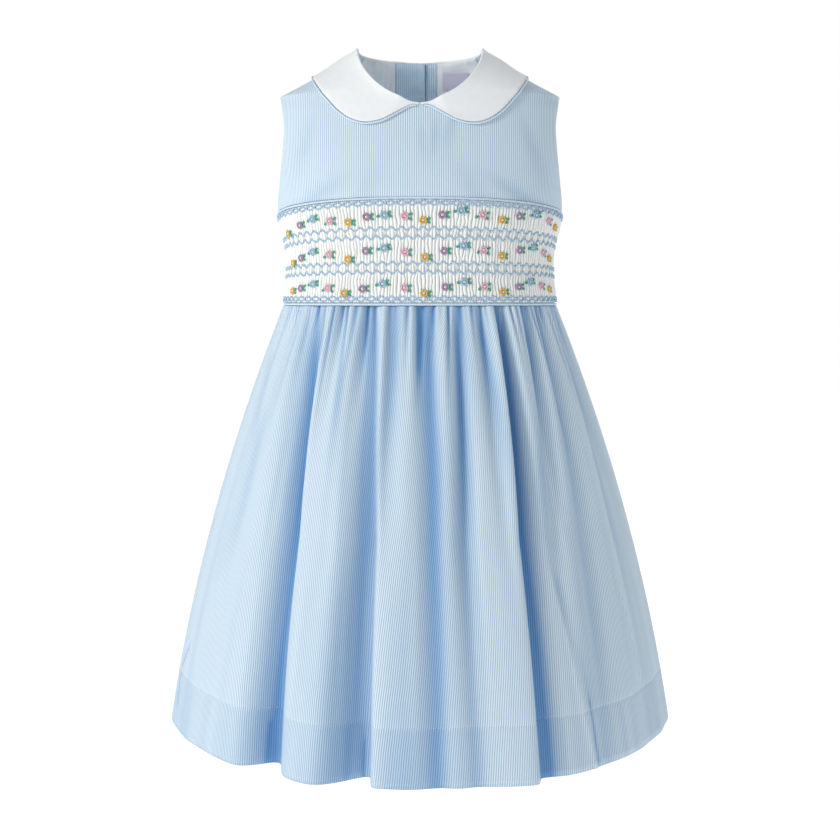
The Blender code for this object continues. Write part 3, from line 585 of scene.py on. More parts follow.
def shell(name, outer, inner, uv, looks, shades=None):
    """A closed shell of cloth between two grids."""
    if shell_volume(outer, inner) < 0:
        outer, inner, uv = outer[:, ::-1], inner[:, ::-1], uv[:, ::-1]
        shades = None if shades is None else shades[:, ::-1]
    rows, columns = outer.shape[:2]
    faces = grid_faces(rows, columns)
    back = faces[:, ::-1] + rows * columns
    rim = rim_faces(rows, columns)
    together = np.concatenate([faces, back, rim])
    smooth = np.arange(len(together)) < len(faces) + len(back)
    shades = np.zeros((rows, columns)) if shades is None else shades
    pieces = Pieces()
    pieces.add(
        np.concatenate([outer.reshape(-1, 3), inner.reshape(-1, 3)]),
        together,
        np.concatenate([uv.reshape(-1, 2), uv.reshape(-1, 2)]),
        smooth=smooth,
        shades=np.concatenate([shades.ravel(), shades.ravel()]),
    )
    return pieces.make(name, looks)


def add_tube(pieces, path, normals, radius, sides, look=0, closed=False):
    """A round thread or cord along a path. normals show which way is out at each point."""
    count = len(path)
    if closed:
        along = np.roll(path, -1, axis=0) - np.roll(path, 1, axis=0)
    else:
        along = np.gradient(path, axis=0)
    along = unit(along)
    aside = unit(np.cross(along, normals))
    out = np.cross(aside, along)
    turns = 2 * np.pi * np.arange(sides) / sides
    radius = np.broadcast_to(radius, (count,))[:, None, None]
    ring = out[:, None, :] * np.cos(turns)[None, :, None] + aside[:, None, :] * np.sin(turns)[None, :, None]
    spots = path[:, None, :] + ring * radius
    index = np.arange(count * sides).reshape(count, sides)
    index = np.concatenate([index, index[:, :1]], axis=1)
    if closed:
        index = np.concatenate([index, index[:1]], axis=0)
    faces = np.stack([index[:-1, :-1], index[:-1, 1:], index[1:, 1:], index[1:, :-1]], axis=-1).reshape(-1, 4)
    lengths = np.concatenate([[0.0], np.cumsum(np.linalg.norm(np.diff(path, axis=0), axis=-1))])
    around = np.arange(sides) * (2 * np.pi / sides) * radius[:, 0, 0].max()
    uv = np.stack(np.broadcast_arrays(lengths[:, None], around[None, :]), axis=-1) * METRES
    pieces.add(spots, faces, uv, look=look)


# Materials


def new_material(name, roughness, sheen=0.0):
    made = bpy.data.materials.new(name)
    made.use_nodes = True
    shader = made.node_tree.nodes["Principled BSDF"]
    shader.inputs["Roughness"].default_value = roughness
    shader.inputs["Sheen Weight"].default_value = sheen
    shader.inputs["Sheen Roughness"].default_value = 0.5
    shader.inputs["Specular IOR Level"].default_value = 0.25
    return made, made.node_tree, shader


def math_node(tree, operation, first, second=None):
    node = tree.nodes.new("ShaderNodeMath")
    node.operation = operation
    for socket, value in zip(node.inputs, (first, second)):
        if value is None:
            continue
        if isinstance(value, (int, float)):
            socket.default_value = value
        else:
            tree.links.new(value, socket)
    return node.outputs[0]


def mix_node(tree, factor, first, second, blend="MIX"):
    node = tree.nodes.new("ShaderNodeMix")
    node.data_type = "RGBA"
    node.blend_type = blend
    for name, value in (("Factor", factor), ("A", first), ("B", second)):
        socket = next(s for s in node.inputs if s.name == name and s.enabled)
        if isinstance(value, (int, float)):
            socket.default_value = value
        elif isinstance(value, tuple):
            socket.default_value = (*value, 1.0)
        else:
            tree.links.new(value, socket)
    return next(s for s in node.outputs if s.enabled)


def cloth_position(tree):
    node = tree.nodes.new("ShaderNodeUVMap")
    node.uv_map = "cloth"
    return node.outputs[0]


def noise(tree, vector, scale, detail=2.0):
    node = tree.nodes.new("ShaderNodeTexNoise")
    node.inputs["Scale"].default_value = scale
    node.inputs["Detail"].default_value = detail
    tree.links.new(vector, node.inputs["Vector"])
    return node.outputs["Fac"]


def add_bump(tree, shader, height, strength, distance):
    node = tree.nodes.new("ShaderNodeBump")
    node.inputs["Strength"].default_value = strength
    node.inputs["Distance"].default_value = distance
    tree.links.new(height, node.inputs["Height"])
    tree.links.new(node.outputs[0], shader.inputs["Normal"])


def weave(tree, position, period):
    """Threads that cross over and under, as a height from 0 to 1."""
    split = tree.nodes.new("ShaderNodeSeparateXYZ")
    tree.links.new(position, split.inputs[0])
    warp = math_node(tree, "SINE", math_node(tree, "MULTIPLY", split.outputs[0], 2 * math.pi / period))
    weft = math_node(tree, "SINE", math_node(tree, "MULTIPLY", split.outputs[1], 2 * math.pi / period))
    return math_node(tree, "MULTIPLY_ADD", math_node(tree, "MULTIPLY", warp, weft), 0.5)


def shaded(tree, colour, painted_shade_tint):
    """A colour with painted shade: deeper and cooler towards the painted shade tint where the mesh's shade value is
    high, as in the valleys of the cloth.
    """
    valley = tree.nodes.new("ShaderNodeAttribute")
    valley.attribute_name = "shade"
    return mix_node(tree, valley.outputs["Fac"], colour, mix_node(tree, 1.0, colour, painted_shade_tint, "MULTIPLY"))


def striped_look(name, white, blue, painted_shade_tint, period=STRIPE, slant=0.0):
    """Woven cotton with fine stripes along the grain, or across a cord where slant is 1."""
    made, tree, shader = new_material(name, 0.82, sheen=0.15)
    position = cloth_position(tree)
    split = tree.nodes.new("ShaderNodeSeparateXYZ")
    tree.links.new(position, split.inputs[0])
    place = split.outputs[0]
    if slant:
        place = math_node(tree, "ADD", place, math_node(tree, "MULTIPLY", split.outputs[1], slant))
    wave = math_node(tree, "COSINE", math_node(tree, "MULTIPLY", place, 2 * math.pi / period))
    stripe = math_node(tree, "MULTIPLY_ADD", wave, 0.5)
    stripe.node.inputs[2].default_value = 0.5
    ramp = tree.nodes.new("ShaderNodeValToRGB")
    ramp.color_ramp.elements[0].position = 0.34
    ramp.color_ramp.elements[0].color = (*blue, 1.0)
    ramp.color_ramp.elements[1].position = 0.66
    ramp.color_ramp.elements[1].color = (*white, 1.0)
    tree.links.new(stripe, ramp.inputs[0])
    mottle = noise(tree, position, 420.0, 3.0)
    varied = mix_node(tree, math_node(tree, "MULTIPLY", mottle, 0.22), ramp.outputs[0], blue)
    tree.links.new(shaded(tree, varied, painted_shade_tint), shader.inputs["Base Color"])
    fine = noise(tree, position, 1900.0, 1.0)
    height = math_node(tree, "ADD", math_node(tree, "MULTIPLY", stripe, 0.7), math_node(tree, "MULTIPLY", fine, 0.5))
    add_bump(tree, shader, height, 0.25, 0.0004)
    return made


def plain_look(name, colour, painted_shade_tint, roughness=0.85, sheen=0.15, fine_scale=1700.0, strength=0.2):
    """Plain woven cotton."""
    made, tree, shader = new_material(name, roughness, sheen)
    position = cloth_position(tree)
    mottle = noise(tree, position, 260.0, 3.0)
    darker = tuple(value * 0.93 for value in colour)
    varied = mix_node(tree, mottle, colour, darker)
    tree.links.new(shaded(tree, varied, painted_shade_tint), shader.inputs["Base Color"])
    add_bump(tree, shader, noise(tree, position, fine_scale, 1.0), strength, 0.0003)
    return made


def thread_look(name, colour):
    """Twisted cotton thread, with its ply slanting across it."""
    made, tree, shader = new_material(name, 0.6, sheen=0.2)
    position = cloth_position(tree)
    split = tree.nodes.new("ShaderNodeSeparateXYZ")
    tree.links.new(position, split.inputs[0])
    place = math_node(tree, "ADD", split.outputs[0], split.outputs[1])
    ply = math_node(tree, "SINE", math_node(tree, "MULTIPLY", place, 2 * math.pi / THREAD_PLY))
    darker = tuple(value * 0.72 for value in colour)
    share = math_node(tree, "MULTIPLY_ADD", ply, 0.35)
    share.node.inputs[2].default_value = 0.4
    tree.links.new(mix_node(tree, share, colour, darker), shader.inputs["Base Color"])
    add_bump(tree, shader, ply, 0.3, 0.0002)
    return made


def button_look():
    made, tree, shader = new_material("button", 0.28)
    shader.inputs["Specular IOR Level"].default_value = 0.5
    shader.inputs["Coat Weight"].default_value = 0.3
    position = tree.nodes.new("ShaderNodeTexCoord").outputs["Object"]
    cloud = noise(tree, position, 130.0, 3.0)
    pearl = mix_node(tree, cloud, (0.86, 0.9, 0.94), (0.7, 0.79, 0.88))
    tree.links.new(pearl, shader.inputs["Base Color"])
    return made


THREAD_PLY = 0.5 * METRES
# The last colour given to each cloth look is its painted shade tint: painted shade darkens the cloth towards it.
STRIPED = striped_look("striped_cotton", (0.81, 0.875, 0.90), (0.395, 0.57, 0.735), (0.24, 0.44, 0.71))
PIPED = striped_look("bias_piping", (0.9, 0.94, 0.96), (0.42, 0.62, 0.8), (0.5, 0.7, 0.9), slant=1.0)
WHITE = plain_look("white_cotton", (0.93, 0.945, 0.955), (0.66, 0.71, 0.76))
SMOCKED = plain_look("smocked_cotton", (0.96, 0.975, 0.955), (0.5, 0.49, 0.46), strength=0.15)
LABELLED = plain_look("label", (0.66, 0.62, 0.74), (0.8, 0.8, 0.8), roughness=0.5, sheen=0.3)
BUTTONED = button_look()
THREADS = {
    "yellow": (0.87, 0.56, 0.1),
    "mauve": (0.46, 0.3, 0.5),
    "pink": (0.93, 0.52, 0.68),
    "light_blue": (0.38, 0.62, 0.82),
    "green": (0.1, 0.48, 0.33),
    "stitch_blue": (0.5, 0.69, 0.88),
    "pale": (0.98, 0.93, 0.86),
    "white_thread": (0.82, 0.86, 0.9),
}
THREAD_NAMES = list(THREADS)
THREAD_LOOKS = [thread_look(name, colour) for name, colour in THREADS.items()]


# Bodice


def cloth_uv(side, grid):
    """Cloth coordinates in metres: across the grain from the middle, and up it."""
    across = arc_to(side, grid[..., 0], grid[..., 2])
    return np.stack([across, grid[..., 2]], axis=-1) * METRES


def mirrored(spots, sign):
    return spots * np.array((sign, 1.0, 1.0))


def front_top_edge(share):
    """The yoke's upper edge from the right armhole, over both shoulders, to the left armhole."""
    across = 2 * share - 1
    near = 1 - 2 * YOKE_SHOULDER_SHARE
    neck = neck_point(FRONT, np.minimum(90.0, 90 * np.abs(across) / near))
    shoulder = shoulder_point(FRONT, np.clip((np.abs(across) - near) / (1 - near), 0.0, 1.0))
    spots = np.where((np.abs(across) > near)[:, None], shoulder, neck)
    spots[:, 0] = np.copysign(spots[:, 0], across)
    return spots


YOKE_SHOULDER_SHARE = 0.28
YOKE_COLUMNS = 160
YOKE_ROWS = 90

# Soft troughs in the yoke: middle, half length along and half width across, turn, depth
YOKE_TROUGHS = (
    # x, z, along, across, turn, depth
    (12.0, -52.0, 16.0, 4.0, 8.0, 0.9),
    (24.0, -46.0, 18.0, 5.0, 14.0, 0.8),
    (3.0, -55.0, 12.0, 3.0, -4.0, 0.6),
    (-72.0, -92.0, 22.0, 6.0, 60.0, 0.9),
    (74.0, -94.0, 24.0, 6.0, -58.0, 1.1),
    (86.0, -60.0, 26.0, 6.0, -20.0, 0.8),
    (-86.0, -58.0, 24.0, 6.0, 18.0, 0.7),
    (40.0, -88.0, 20.0, 8.0, -35.0, 0.6),
    (-35.0, -86.0, 18.0, 7.0, 28.0, 0.5),
)


def trough_depth(grid, troughs):
    total = np.zeros(grid.shape[:2])
    for x, z, along, across, turn, deep in troughs:
        lean = math.radians(turn)
        dx, dz = grid[..., 0] - x, grid[..., 2] - z
        up = dx * math.sin(lean) + dz * math.cos(lean)
        aside = dx * math.cos(lean) - dz * math.sin(lean)
        total += deep * bump_curve(up, along) * bump_curve(aside, across)
    return total


def front_yoke():
    lift = PIPING_RADIUS + SEAM_GAP

    def bottom(share):
        angle = 180 * share - 90
        return round_body(FRONT, angle, panel_top_z(angle) + lift)

    def armhole(share, sign):
        return mirrored(armhole_point(FRONT, share, UNDERARM_Z + lift), sign)

    columns = np.linspace(0, 1, YOKE_COLUMNS)
    rows = np.sin(np.linspace(0, 1, YOKE_ROWS) * np.pi / 2)
    grid = patch(
        FRONT,
        bottom,
        front_top_edge,
        lambda share: armhole(share, -1),
        lambda share: armhole(share, 1),
        columns,
        rows,
    )
    uv = cloth_uv(FRONT, grid)
    sunk = trough_depth(grid, YOKE_TROUGHS)
    normals = normal_at(grid)
    outer = raised(grid, -sunk)
    inner = inside_of(outer, normals, CLOTH)
    # Painted shade in the troughs.
    shades = np.clip(sunk * 0.2, 0.0, 0.3)
    obj = shell("yoke_cloth", outer, inner, uv, [STRIPED], shades)
    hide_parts("front_yoke")
    return obj


def lap_lift(x):
    """How far the left half's lap stands above the right half."""
    return LAP_LIFT * ease((LAP_FADE_X - x) / (LAP_FADE_X - LAP_FLAT_X))


BACK_SHOULDER_SHARE = 0.55
HALF_COLUMNS = 90
HALF_ROWS = 110
BACK_TROUGHS = (
    # x, z, along, across, turn, depth
    (70.0, -120.0, 30.0, 7.0, 40.0, 1.0),
    (-68.0, -118.0, 28.0, 7.0, -42.0, 1.0),
    (45.0, -60.0, 30.0, 8.0, 12.0, 0.7),
    (-48.0, -64.0, 28.0, 8.0, -14.0, 0.7),
    (30.0, -150.0, 18.0, 5.0, 5.0, 0.8),
    (-34.0, -150.0, 18.0, 5.0, -8.0, 0.8),
    (88.0, -150.0, 18.0, 5.0, 8.0, 0.8),
    (-90.0, -148.0, 18.0, 5.0, -6.0, 0.8),
)


def back_half(name, node, sign, centre_x, height):
    """Half of the back, from its edge at the opening to the side seam and armhole."""
    waist = WAIST_Z + SEAM_GAP / 2
    own_side = 1 if centre_x * sign > 0 else -1
    first_turn = own_side * math.degrees(math.asin(abs(centre_x) / NECK_HALF_WIDTH))
    across = float((abs(centre_x) / half_width(waist)) ** (ROUNDNESS / 2))
    first_angle = own_side * math.degrees(math.asin(across))
    under = (UNDERARM_Z - waist) / (SHOULDER_TIP_Z - waist)

    def bottom(share):
        return mirrored(round_body(BACK, mix(first_angle, 90, share), waist), sign)

    def top(share):
        turn = mix(first_turn, 90, np.minimum(1.0, share / BACK_SHOULDER_SHARE))
        neck = neck_point(BACK, np.abs(turn))
        neck[:, 0] *= np.sign(turn)
        along = np.clip((share - BACK_SHOULDER_SHARE) / (1 - BACK_SHOULDER_SHARE), 0.0, 1.0)
        shoulder = shoulder_point(BACK, along)
        return mirrored(np.where((share > BACK_SHOULDER_SHARE)[:, None], shoulder, neck), sign)

    def centre(share):
        top_z = top(np.zeros(1))[0, 2]
        return points(np.full(len(share), centre_x), 0.0, mix(waist, top_z, share))

    def edge(share):
        low_z = mix(waist, UNDERARM_Z, np.minimum(1.0, share / under))
        low = points(half_width(low_z), 0.0, low_z)
        high = armhole_point(BACK, np.clip((share - under) / (1 - under), 0.0, 1.0), UNDERARM_Z)
        return mirrored(np.where((share > under)[:, None], high, low), sign)

    columns = np.linspace(0, 1, HALF_COLUMNS)
    rows = np.sort(np.append(np.sin(np.linspace(0, 1, HALF_ROWS) * np.pi / 2), under))
    grid = patch(BACK, bottom, top, centre, edge, columns, rows)
    uv = cloth_uv(BACK, grid)
    sunk = trough_depth(grid, BACK_TROUGHS)
    outer = raised(grid, height(grid[..., 0]) - sunk)
    inner = inside_of(outer, normal_at(grid), CLOTH)
    # Painted shade in the troughs.
    obj = shell(name, outer, inner, uv, [STRIPED], np.clip(sunk * 0.2, 0.0, 0.3))
    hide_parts(node)
    return obj


def to_neck_edge(outer, top_z):
    """Moves a facing's upper rows up, so that it covers the bodice's edge as seen from inside."""
    rise = top_z - outer[-1:, :, 2]
    reach = ease((outer[..., 2] - outer[-1:, :, 2] + FACING_RISE_REACH) / FACING_RISE_REACH)
    moved = outer.copy()
    moved[..., 2] += rise * reach
    return moved


FACING_RISE_REACH = 9.0
FACING_WRINKLE = 0.6
STAND_SEAM_DROP = 6.5


def back_strip(name, node, low_x, high_x, height):
    """A facing of the back opening, from the neckline down to the waist."""
    waist = WAIST_Z + SEAM_GAP / 2
    x = np.linspace(high_x, low_x, 14)[None, :]
    share = np.linspace(0, 1, 70)[:, None]
    turn = np.degrees(np.arcsin(np.abs(x) / NECK_HALF_WIDTH))
    z = mix(waist, neck_point(BACK, turn)[..., 2] - SEAM_GAP, share)
    grid = on_body(BACK, np.broadcast_to(x, z.shape), z)
    ripple = 0.25 * soft_noise(z.shape, (9, 2), 5)
    outer = raised(grid, height(grid[..., 0]) + np.minimum(0.0, ripple))
    outer = to_neck_edge(outer, grid[-1:, :, 2] + SEAM_GAP)
    inner = inside_of(outer, normal_at(grid), FACING)
    # The shade value here is a darker line along the stand's seam, and darker patches from noise.
    seam = bump_curve(grid[-1:, :, 2] - grid[..., 2] - STAND_SEAM_DROP, 0.5)
    shades = np.clip(0.6 * seam + 0.25 * np.abs(soft_noise(z.shape, (30, 3), 8)), 0.0, 0.8)
    obj = shell(name, outer, inner, cloth_uv(BACK, grid), [STRIPED], shades)
    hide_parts(node)
    return obj


def neck_facing(name, node, sign, start_x, height):
    """The white facing inside the back neck, from the opening's stand to the shoulder seam."""
    turn = math.degrees(math.asin(start_x / NECK_HALF_WIDTH))
    share = np.linspace(1, 0, 30)[:, None]
    along = np.linspace(0, 1, 50)[None, :]
    upper = neck_point(BACK, mix(turn, FACING_NECK_TURN, along))
    swing = np.radians(90 * along)
    low_x = start_x + (FACING_SHOULDER_X - start_x) * np.sin(swing)
    low_z = mix(FACING_SHOULDER_Z, FACING_LOW_Z, np.cos(swing))
    x = sign * mix(upper[..., 0], low_x, share)
    z = mix(upper[..., 2] - SEAM_GAP, low_z, share)
    grid = on_body(BACK, x, z)
    wrinkles = np.abs(soft_noise(z.shape, (6, 9), 17 + sign))
    outer = raised(grid, height(grid[..., 0]) - FACING_WRINKLE * wrinkles)
    outer = to_neck_edge(outer, grid[-1:, :, 2] + SEAM_GAP)
    inner = inside_of(outer, normal_at(grid), FACING)
    # Painted shade in the wrinkles, deeper where they sink further.
    obj = shell(name, outer, inner, cloth_uv(BACK, grid), [WHITE], 0.5 * wrinkles)
    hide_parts(node)
    return obj


def neck_label():
    """A plain blank label on the inside of the left facing, sewn down along its edges."""
    x = np.linspace(LABEL_EDGES_X[1], LABEL_EDGES_X[0], 24)[None, :]
    z = np.linspace(LABEL_EDGES_Z[0], LABEL_EDGES_Z[1], 16)[:, None]
    x, z = np.broadcast_arrays(x, z)
    grid = on_body(BACK, x, z)
    level = lap_lift(x) - SOLID_CLOTH - 1.0 - 2 * LAYER_GAP - FACING_WRINKLE
    outer = raised(grid, level)
    inner = inside_of(outer, normal_at(grid), LABEL_THICKNESS)
    obj = shell("label_cloth", outer, inner, cloth_uv(BACK, grid), [LABELLED])
    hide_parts("neck_label")
    return obj


def back_pieces():
    flat = SOLID_CLOTH + LAYER_GAP
    back_half("back_cloth_left", "back_bodice_left", LEFT, LAP_EDGE_X, lap_lift)
    back_half("back_cloth_right", "back_bodice_right", RIGHT, UNDERLAP_EDGE_X, lambda x: 0.0 * x)
    back_strip("underlap_cloth", "back_underlap", UNDERLAP_FACING_X, UNDERLAP_EDGE_X, lambda x: 0.0 * x - flat)
    lap_facing_from = UNDERLAP_EDGE_X + SEAM_GAP
    back_strip("lap_facing_cloth", "back_lap_facing", lap_facing_from, LAP_FACING_X, lambda x: lap_lift(x) - flat)
    neck_facing("facing_cloth_left", "neck_facing_left", LEFT, LAP_FACING_X + SEAM_GAP, lambda x: lap_lift(x) - flat)
    right_from = -UNDERLAP_FACING_X + SEAM_GAP
    neck_facing("facing_cloth_right", "neck_facing_right", RIGHT, right_from, lambda x: 0.0 * x - flat)
    neck_label()


# Smocked panel


def panel_angles(count):
    """Angles that part the panel's middle level round the body into equal lengths."""
    fine = np.linspace(-90, 90, 2001)
    ring = round_body(FRONT, fine, np.full(len(fine), (UNDERARM_Z + WAIST_Z) / 2))
    lengths = np.concatenate([[0.0], np.cumsum(np.linalg.norm(np.diff(ring, axis=0), axis=-1))])
    at = np.linspace(0, lengths[-1], count)
    return np.interp(at, lengths, fine), at - lengths[-1] / 2, lengths[-1]


PANEL_ARC = panel_angles(2)[2]
PLEAT_WIDTH = PANEL_ARC / PLEATS


def angle_at(arc):
    angles, places, _ = panel_angles(1201)
    return np.interp(arc, places, angles)


def panel_point(arc, share):
    """Points of the panel's plain form, at a length from its middle and a share of its height."""
    margin = PIPING_RADIUS + SEAM_GAP
    angle = angle_at(arc)
    z = mix(WAIST_Z + margin, panel_top_z(angle) - margin, share)
    return round_body(FRONT, angle, z)


def held_by_stitches(share):
    """1 at the stitched rows, where the pleats are drawn flat, and 0 between them."""
    held = np.zeros_like(share)
    for low, high, _ in ZIGZAGS:
        middle, half = (low + high) / 2, (high - low) / 2 + 0.012
        held = np.maximum(held, bump_curve(share - middle, half))
    return held


def smocked_panel():
    """Six columns a pleat round its ridge, with grooves that wander and open between the stitches."""
    columns = PLEATS * POINTS_A_PLEAT + 1
    _, arc, _ = panel_angles(columns)
    share = np.linspace(0, 1, PANEL_ROWS)
    shares, arcs = np.meshgrid(share, arc, indexing="ij")
    wander = PLEAT_WANDER * soft_noise(shares.shape, (14, 100), 31)
    held = held_by_stitches(shares)
    edge = ease((PANEL_ARC / 2 - np.abs(arcs)) / 4)
    pleat_place = arcs / PLEAT_WIDTH
    ridge = np.abs(np.cos(np.pi * pleat_place)) ** 0.7
    uneven = 1 + 0.25 * soft_noise(shares.shape, (4, PLEATS), 7)
    puff = mix(1.0, 0.62, held) * uneven
    ends = ease(np.minimum(shares, 1 - shares) / 0.05) * 0.5 + 0.5
    opened = np.zeros_like(shares)
    for low, high in OPEN_BANDS:
        opened = np.maximum(opened, bump_curve(shares - (low + high) / 2, (high - low) / 2))
    third = bump_curve(((pleat_place - 0.5) % ZIGZAG_PLEATS) - ZIGZAG_PLEATS / 2, 0.4)
    height = PLEAT_HEIGHT * ridge * puff * ends - 0.8 * opened * third
    base = panel_point(arcs + wander * edge, shares)
    outer = raised(base, height)
    inner = raised(base, -CLOTH - 0.2)
    # Painted shade in the grooves, weaker where the stitches hold the pleats flat, and in the openings between the
    # stitches.
    painted_groove_shade = (1 - ridge) ** 1.8 * mix(0.85, 0.5, held) + 0.55 * opened * third
    shades = np.clip(painted_groove_shade, 0.0, 0.9) * edge
    uv = np.stack([arcs, base[..., 2]], axis=-1) * METRES
    obj = shell("smocked_cloth", outer, inner, uv, [SMOCKED], shades)
    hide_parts("smocked_panel")
    return obj


def on_panel(arc, share, height):
    return raised(panel_point(arc, share), height)


def zigzag_stitches(pieces):
    """Short slanting stitches that climb and fall over the pleats, in pairs of rows."""
    look = THREAD_NAMES.index("stitch_blue")
    stroke = ZIGZAG_PLEATS * PLEAT_WIDTH / 2
    strokes = int(PANEL_ARC / stroke) - 2
    first = -strokes * stroke / 2
    along = np.linspace(0.04, 0.96, 6)
    for number, (low, high, way) in enumerate(ZIGZAGS):
        for step in range(strokes):
            climbs = way * (1 if step % 2 else -1) > 0
            for half in range(2):
                rise = (half + along) / 2
                arc = first + (step + rise) * stroke + 0.12 * math.sin(step * 1.7 + number)
                share = mix(low, high, rise if climbs else 1 - rise)
                height = PLEAT_HEIGHT * 0.62 + 0.45 * np.sin(np.pi * along)
                path = on_panel(arc, share, height)
                radius = 0.68 * np.sin(np.pi * np.clip(along, 0.12, 0.88)) ** 0.5
                add_tube(pieces, path, normal_at(path), radius, 5, look)


def local_path(centre_arc, centre_share, across, up, out):
    """A small path on the panel, given in millimetres from a place on it."""
    height = mix(WAIST_Z, PANEL_TOP_CENTRE_Z, 1.0) - WAIST_Z
    return on_panel(centre_arc + across, centre_share + up / height, out)


def rose(pieces, arc, share, colour, turn):
    """Five curled bullion stitches round a pale knot."""
    base = PLEAT_HEIGHT * 0.8
    for bar in range(5):
        sweep = np.radians(turn + 72 * bar + np.linspace(-10, 88, 12))
        reach = 2.15 + 0.25 * np.cos(np.linspace(0, np.pi, 12))
        place = np.linspace(0, 1, 12)
        out = base + 0.55 + 0.45 * np.sin(np.pi * place)
        path = local_path(arc, share, reach * np.cos(sweep), reach * np.sin(sweep), out)
        wraps = 1 + 0.12 * np.cos(2 * np.pi * place * 5.5)
        radius = 0.78 * wraps * np.sin(np.pi * np.clip(place * 0.92 + 0.04, 0, 1)) ** 0.35
        add_tube(pieces, path, normal_at(path), radius, 7, THREAD_NAMES.index(colour))
    place = np.linspace(0, 1, 12)
    sweep = np.radians(turn) + 2 * np.pi * 1.4 * place
    reach = 0.9 * (1 - 0.75 * place)
    path = local_path(arc, share, reach * np.cos(sweep), reach * np.sin(sweep), base + 0.7 + 0.5 * place)
    add_tube(pieces, path, normal_at(path), 0.52, 6, THREAD_NAMES.index("pale"))


def leaf(pieces, arc, share, across, up, turn):
    """A looped stitch with a point at its far end."""
    place = np.linspace(0, 2 * np.pi, 12, endpoint=False)
    length, width = 1.3, 0.72
    x = length * (1 - np.cos(place))
    y = width * np.sin(place) * np.sin(place / 2) ** 0.6
    lean = math.radians(turn)
    path_across = across + x * math.cos(lean) - y * math.sin(lean)
    path_up = up + x * math.sin(lean) + y * math.cos(lean)
    out = PLEAT_HEIGHT * 0.75 + 0.45 + 0.2 * np.sin(place / 2)
    path = local_path(arc, share, path_across, path_up, out)
    add_tube(pieces, path, normal_at(path), 0.5, 5, THREAD_NAMES.index("green"), closed=True)


# Where each rose's leaves start from its middle, and the way that they point
LEAVES = {
    "yellow": ((2.6, 0.6, 20.0), (2.4, -0.9, -25.0)),
    "mauve": ((2.7, 0.9, 30.0), (2.6, -0.9, -22.0)),
    "light_blue": ((2.7, -0.2, -18.0), (-2.7, -0.2, 200.0), (2.3, 1.2, 35.0)),
    "pink": ((2.7, 0.8, 25.0), (2.5, -1.2, -40.0)),
}
PINK_BOTH_SIDES = ((2.6, 0.9, 30.0), (2.5, -1.3, -45.0), (-2.6, -1.0, 215.0))


def flowers(pieces):
    for row, (first, *parts) in enumerate(ROSE_ROWS):
        places = [place for part in parts for place in part]
        for number, (arc, share) in enumerate(places):
            colour = ROSE_ORDER[(first + number) % len(ROSE_ORDER)]
            rose(pieces, arc, share, colour, 40.0 * number + 25.0 * row)
            both = colour == "pink" and number % (2 * len(ROSE_ORDER)) < len(ROSE_ORDER)
            for across, up, turn in PINK_BOTH_SIDES if both else LEAVES[colour]:
                leaf(pieces, arc, share, across, up, turn + 6 * math.sin(number + row))


def embroidery():
    pieces = Pieces()
    zigzag_stitches(pieces)
    flowers(pieces)
    obj = pieces.make("smocking_stitches", THREAD_LOOKS)
    return obj


def panel_pipings():
    """The cords in the seams over and under the smocked panel."""
    angles = np.linspace(-88.5, 88.5, 260)
    for name, node, heights in (
        ("panel_cord", "panel_piping", panel_top_z(angles)),
        ("waist_cord", "waist_piping", np.full(len(angles), WAIST_Z)),
    ):
        path = raised(round_body(FRONT, angles, heights), 0.2)
        pieces = Pieces()
        add_tube(pieces, path, normal_at(path), PIPING_RADIUS * 0.85, 12)
        obj = pieces.make(name, [PIPED])
        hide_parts(node)


# Collar

COLLAR_COLUMNS = 150
COLLAR_ROWS = 26
COLLAR_PIPING_OFF = 1.5 * SEAM_GAP + COLLAR_PIPING_RADIUS


def neck_columns(sign, count):
    """Points along half the neckline, with the way out over the body and the place along it."""
    turns = 90 * (1 - (1 - np.linspace(0, 1, 161)) ** 2)
    route = np.concatenate([neck_point(FRONT, turns), neck_point(BACK, turns)[-2::-1]])
    route = onto_body(route)
    lengths = np.concatenate([[0.0], np.cumsum(np.linalg.norm(np.diff(route, axis=0), axis=-1))])
    total = lengths[-1]
    place = np.linspace(COLLAR_END_GAP, total - COLLAR_END_GAP, count)
    start = np.stack([np.interp(place, lengths, route[:, axis]) for axis in range(3)], axis=-1)
    reach = 1.5
    ahead = np.stack([np.interp(place + reach, lengths, route[:, axis]) for axis in range(3)], axis=-1)
    behind = np.stack([np.interp(place - reach, lengths, route[:, axis]) for axis in range(3)], axis=-1)
    out = unit(np.cross(ahead - behind, normal_at(start)))
    away = start - points(0.0, 0.0, start[:, 2] + ABOVE_NECK)
    out *= np.sign(dot(out, away))[:, None]
    mirror = np.array((sign, 1.0, 1.0))
    return start * mirror, out * mirror, np.minimum(place, total - place)


def under_collar(spots):
    """The level of what the collar lies on: the lap raises it behind."""
    lifted = lap_lift(np.abs(spots[..., 0])) + SEAM_GAP
    return lifted * ease(spots[..., 1] / COLLAR_LIFT_LENGTH)


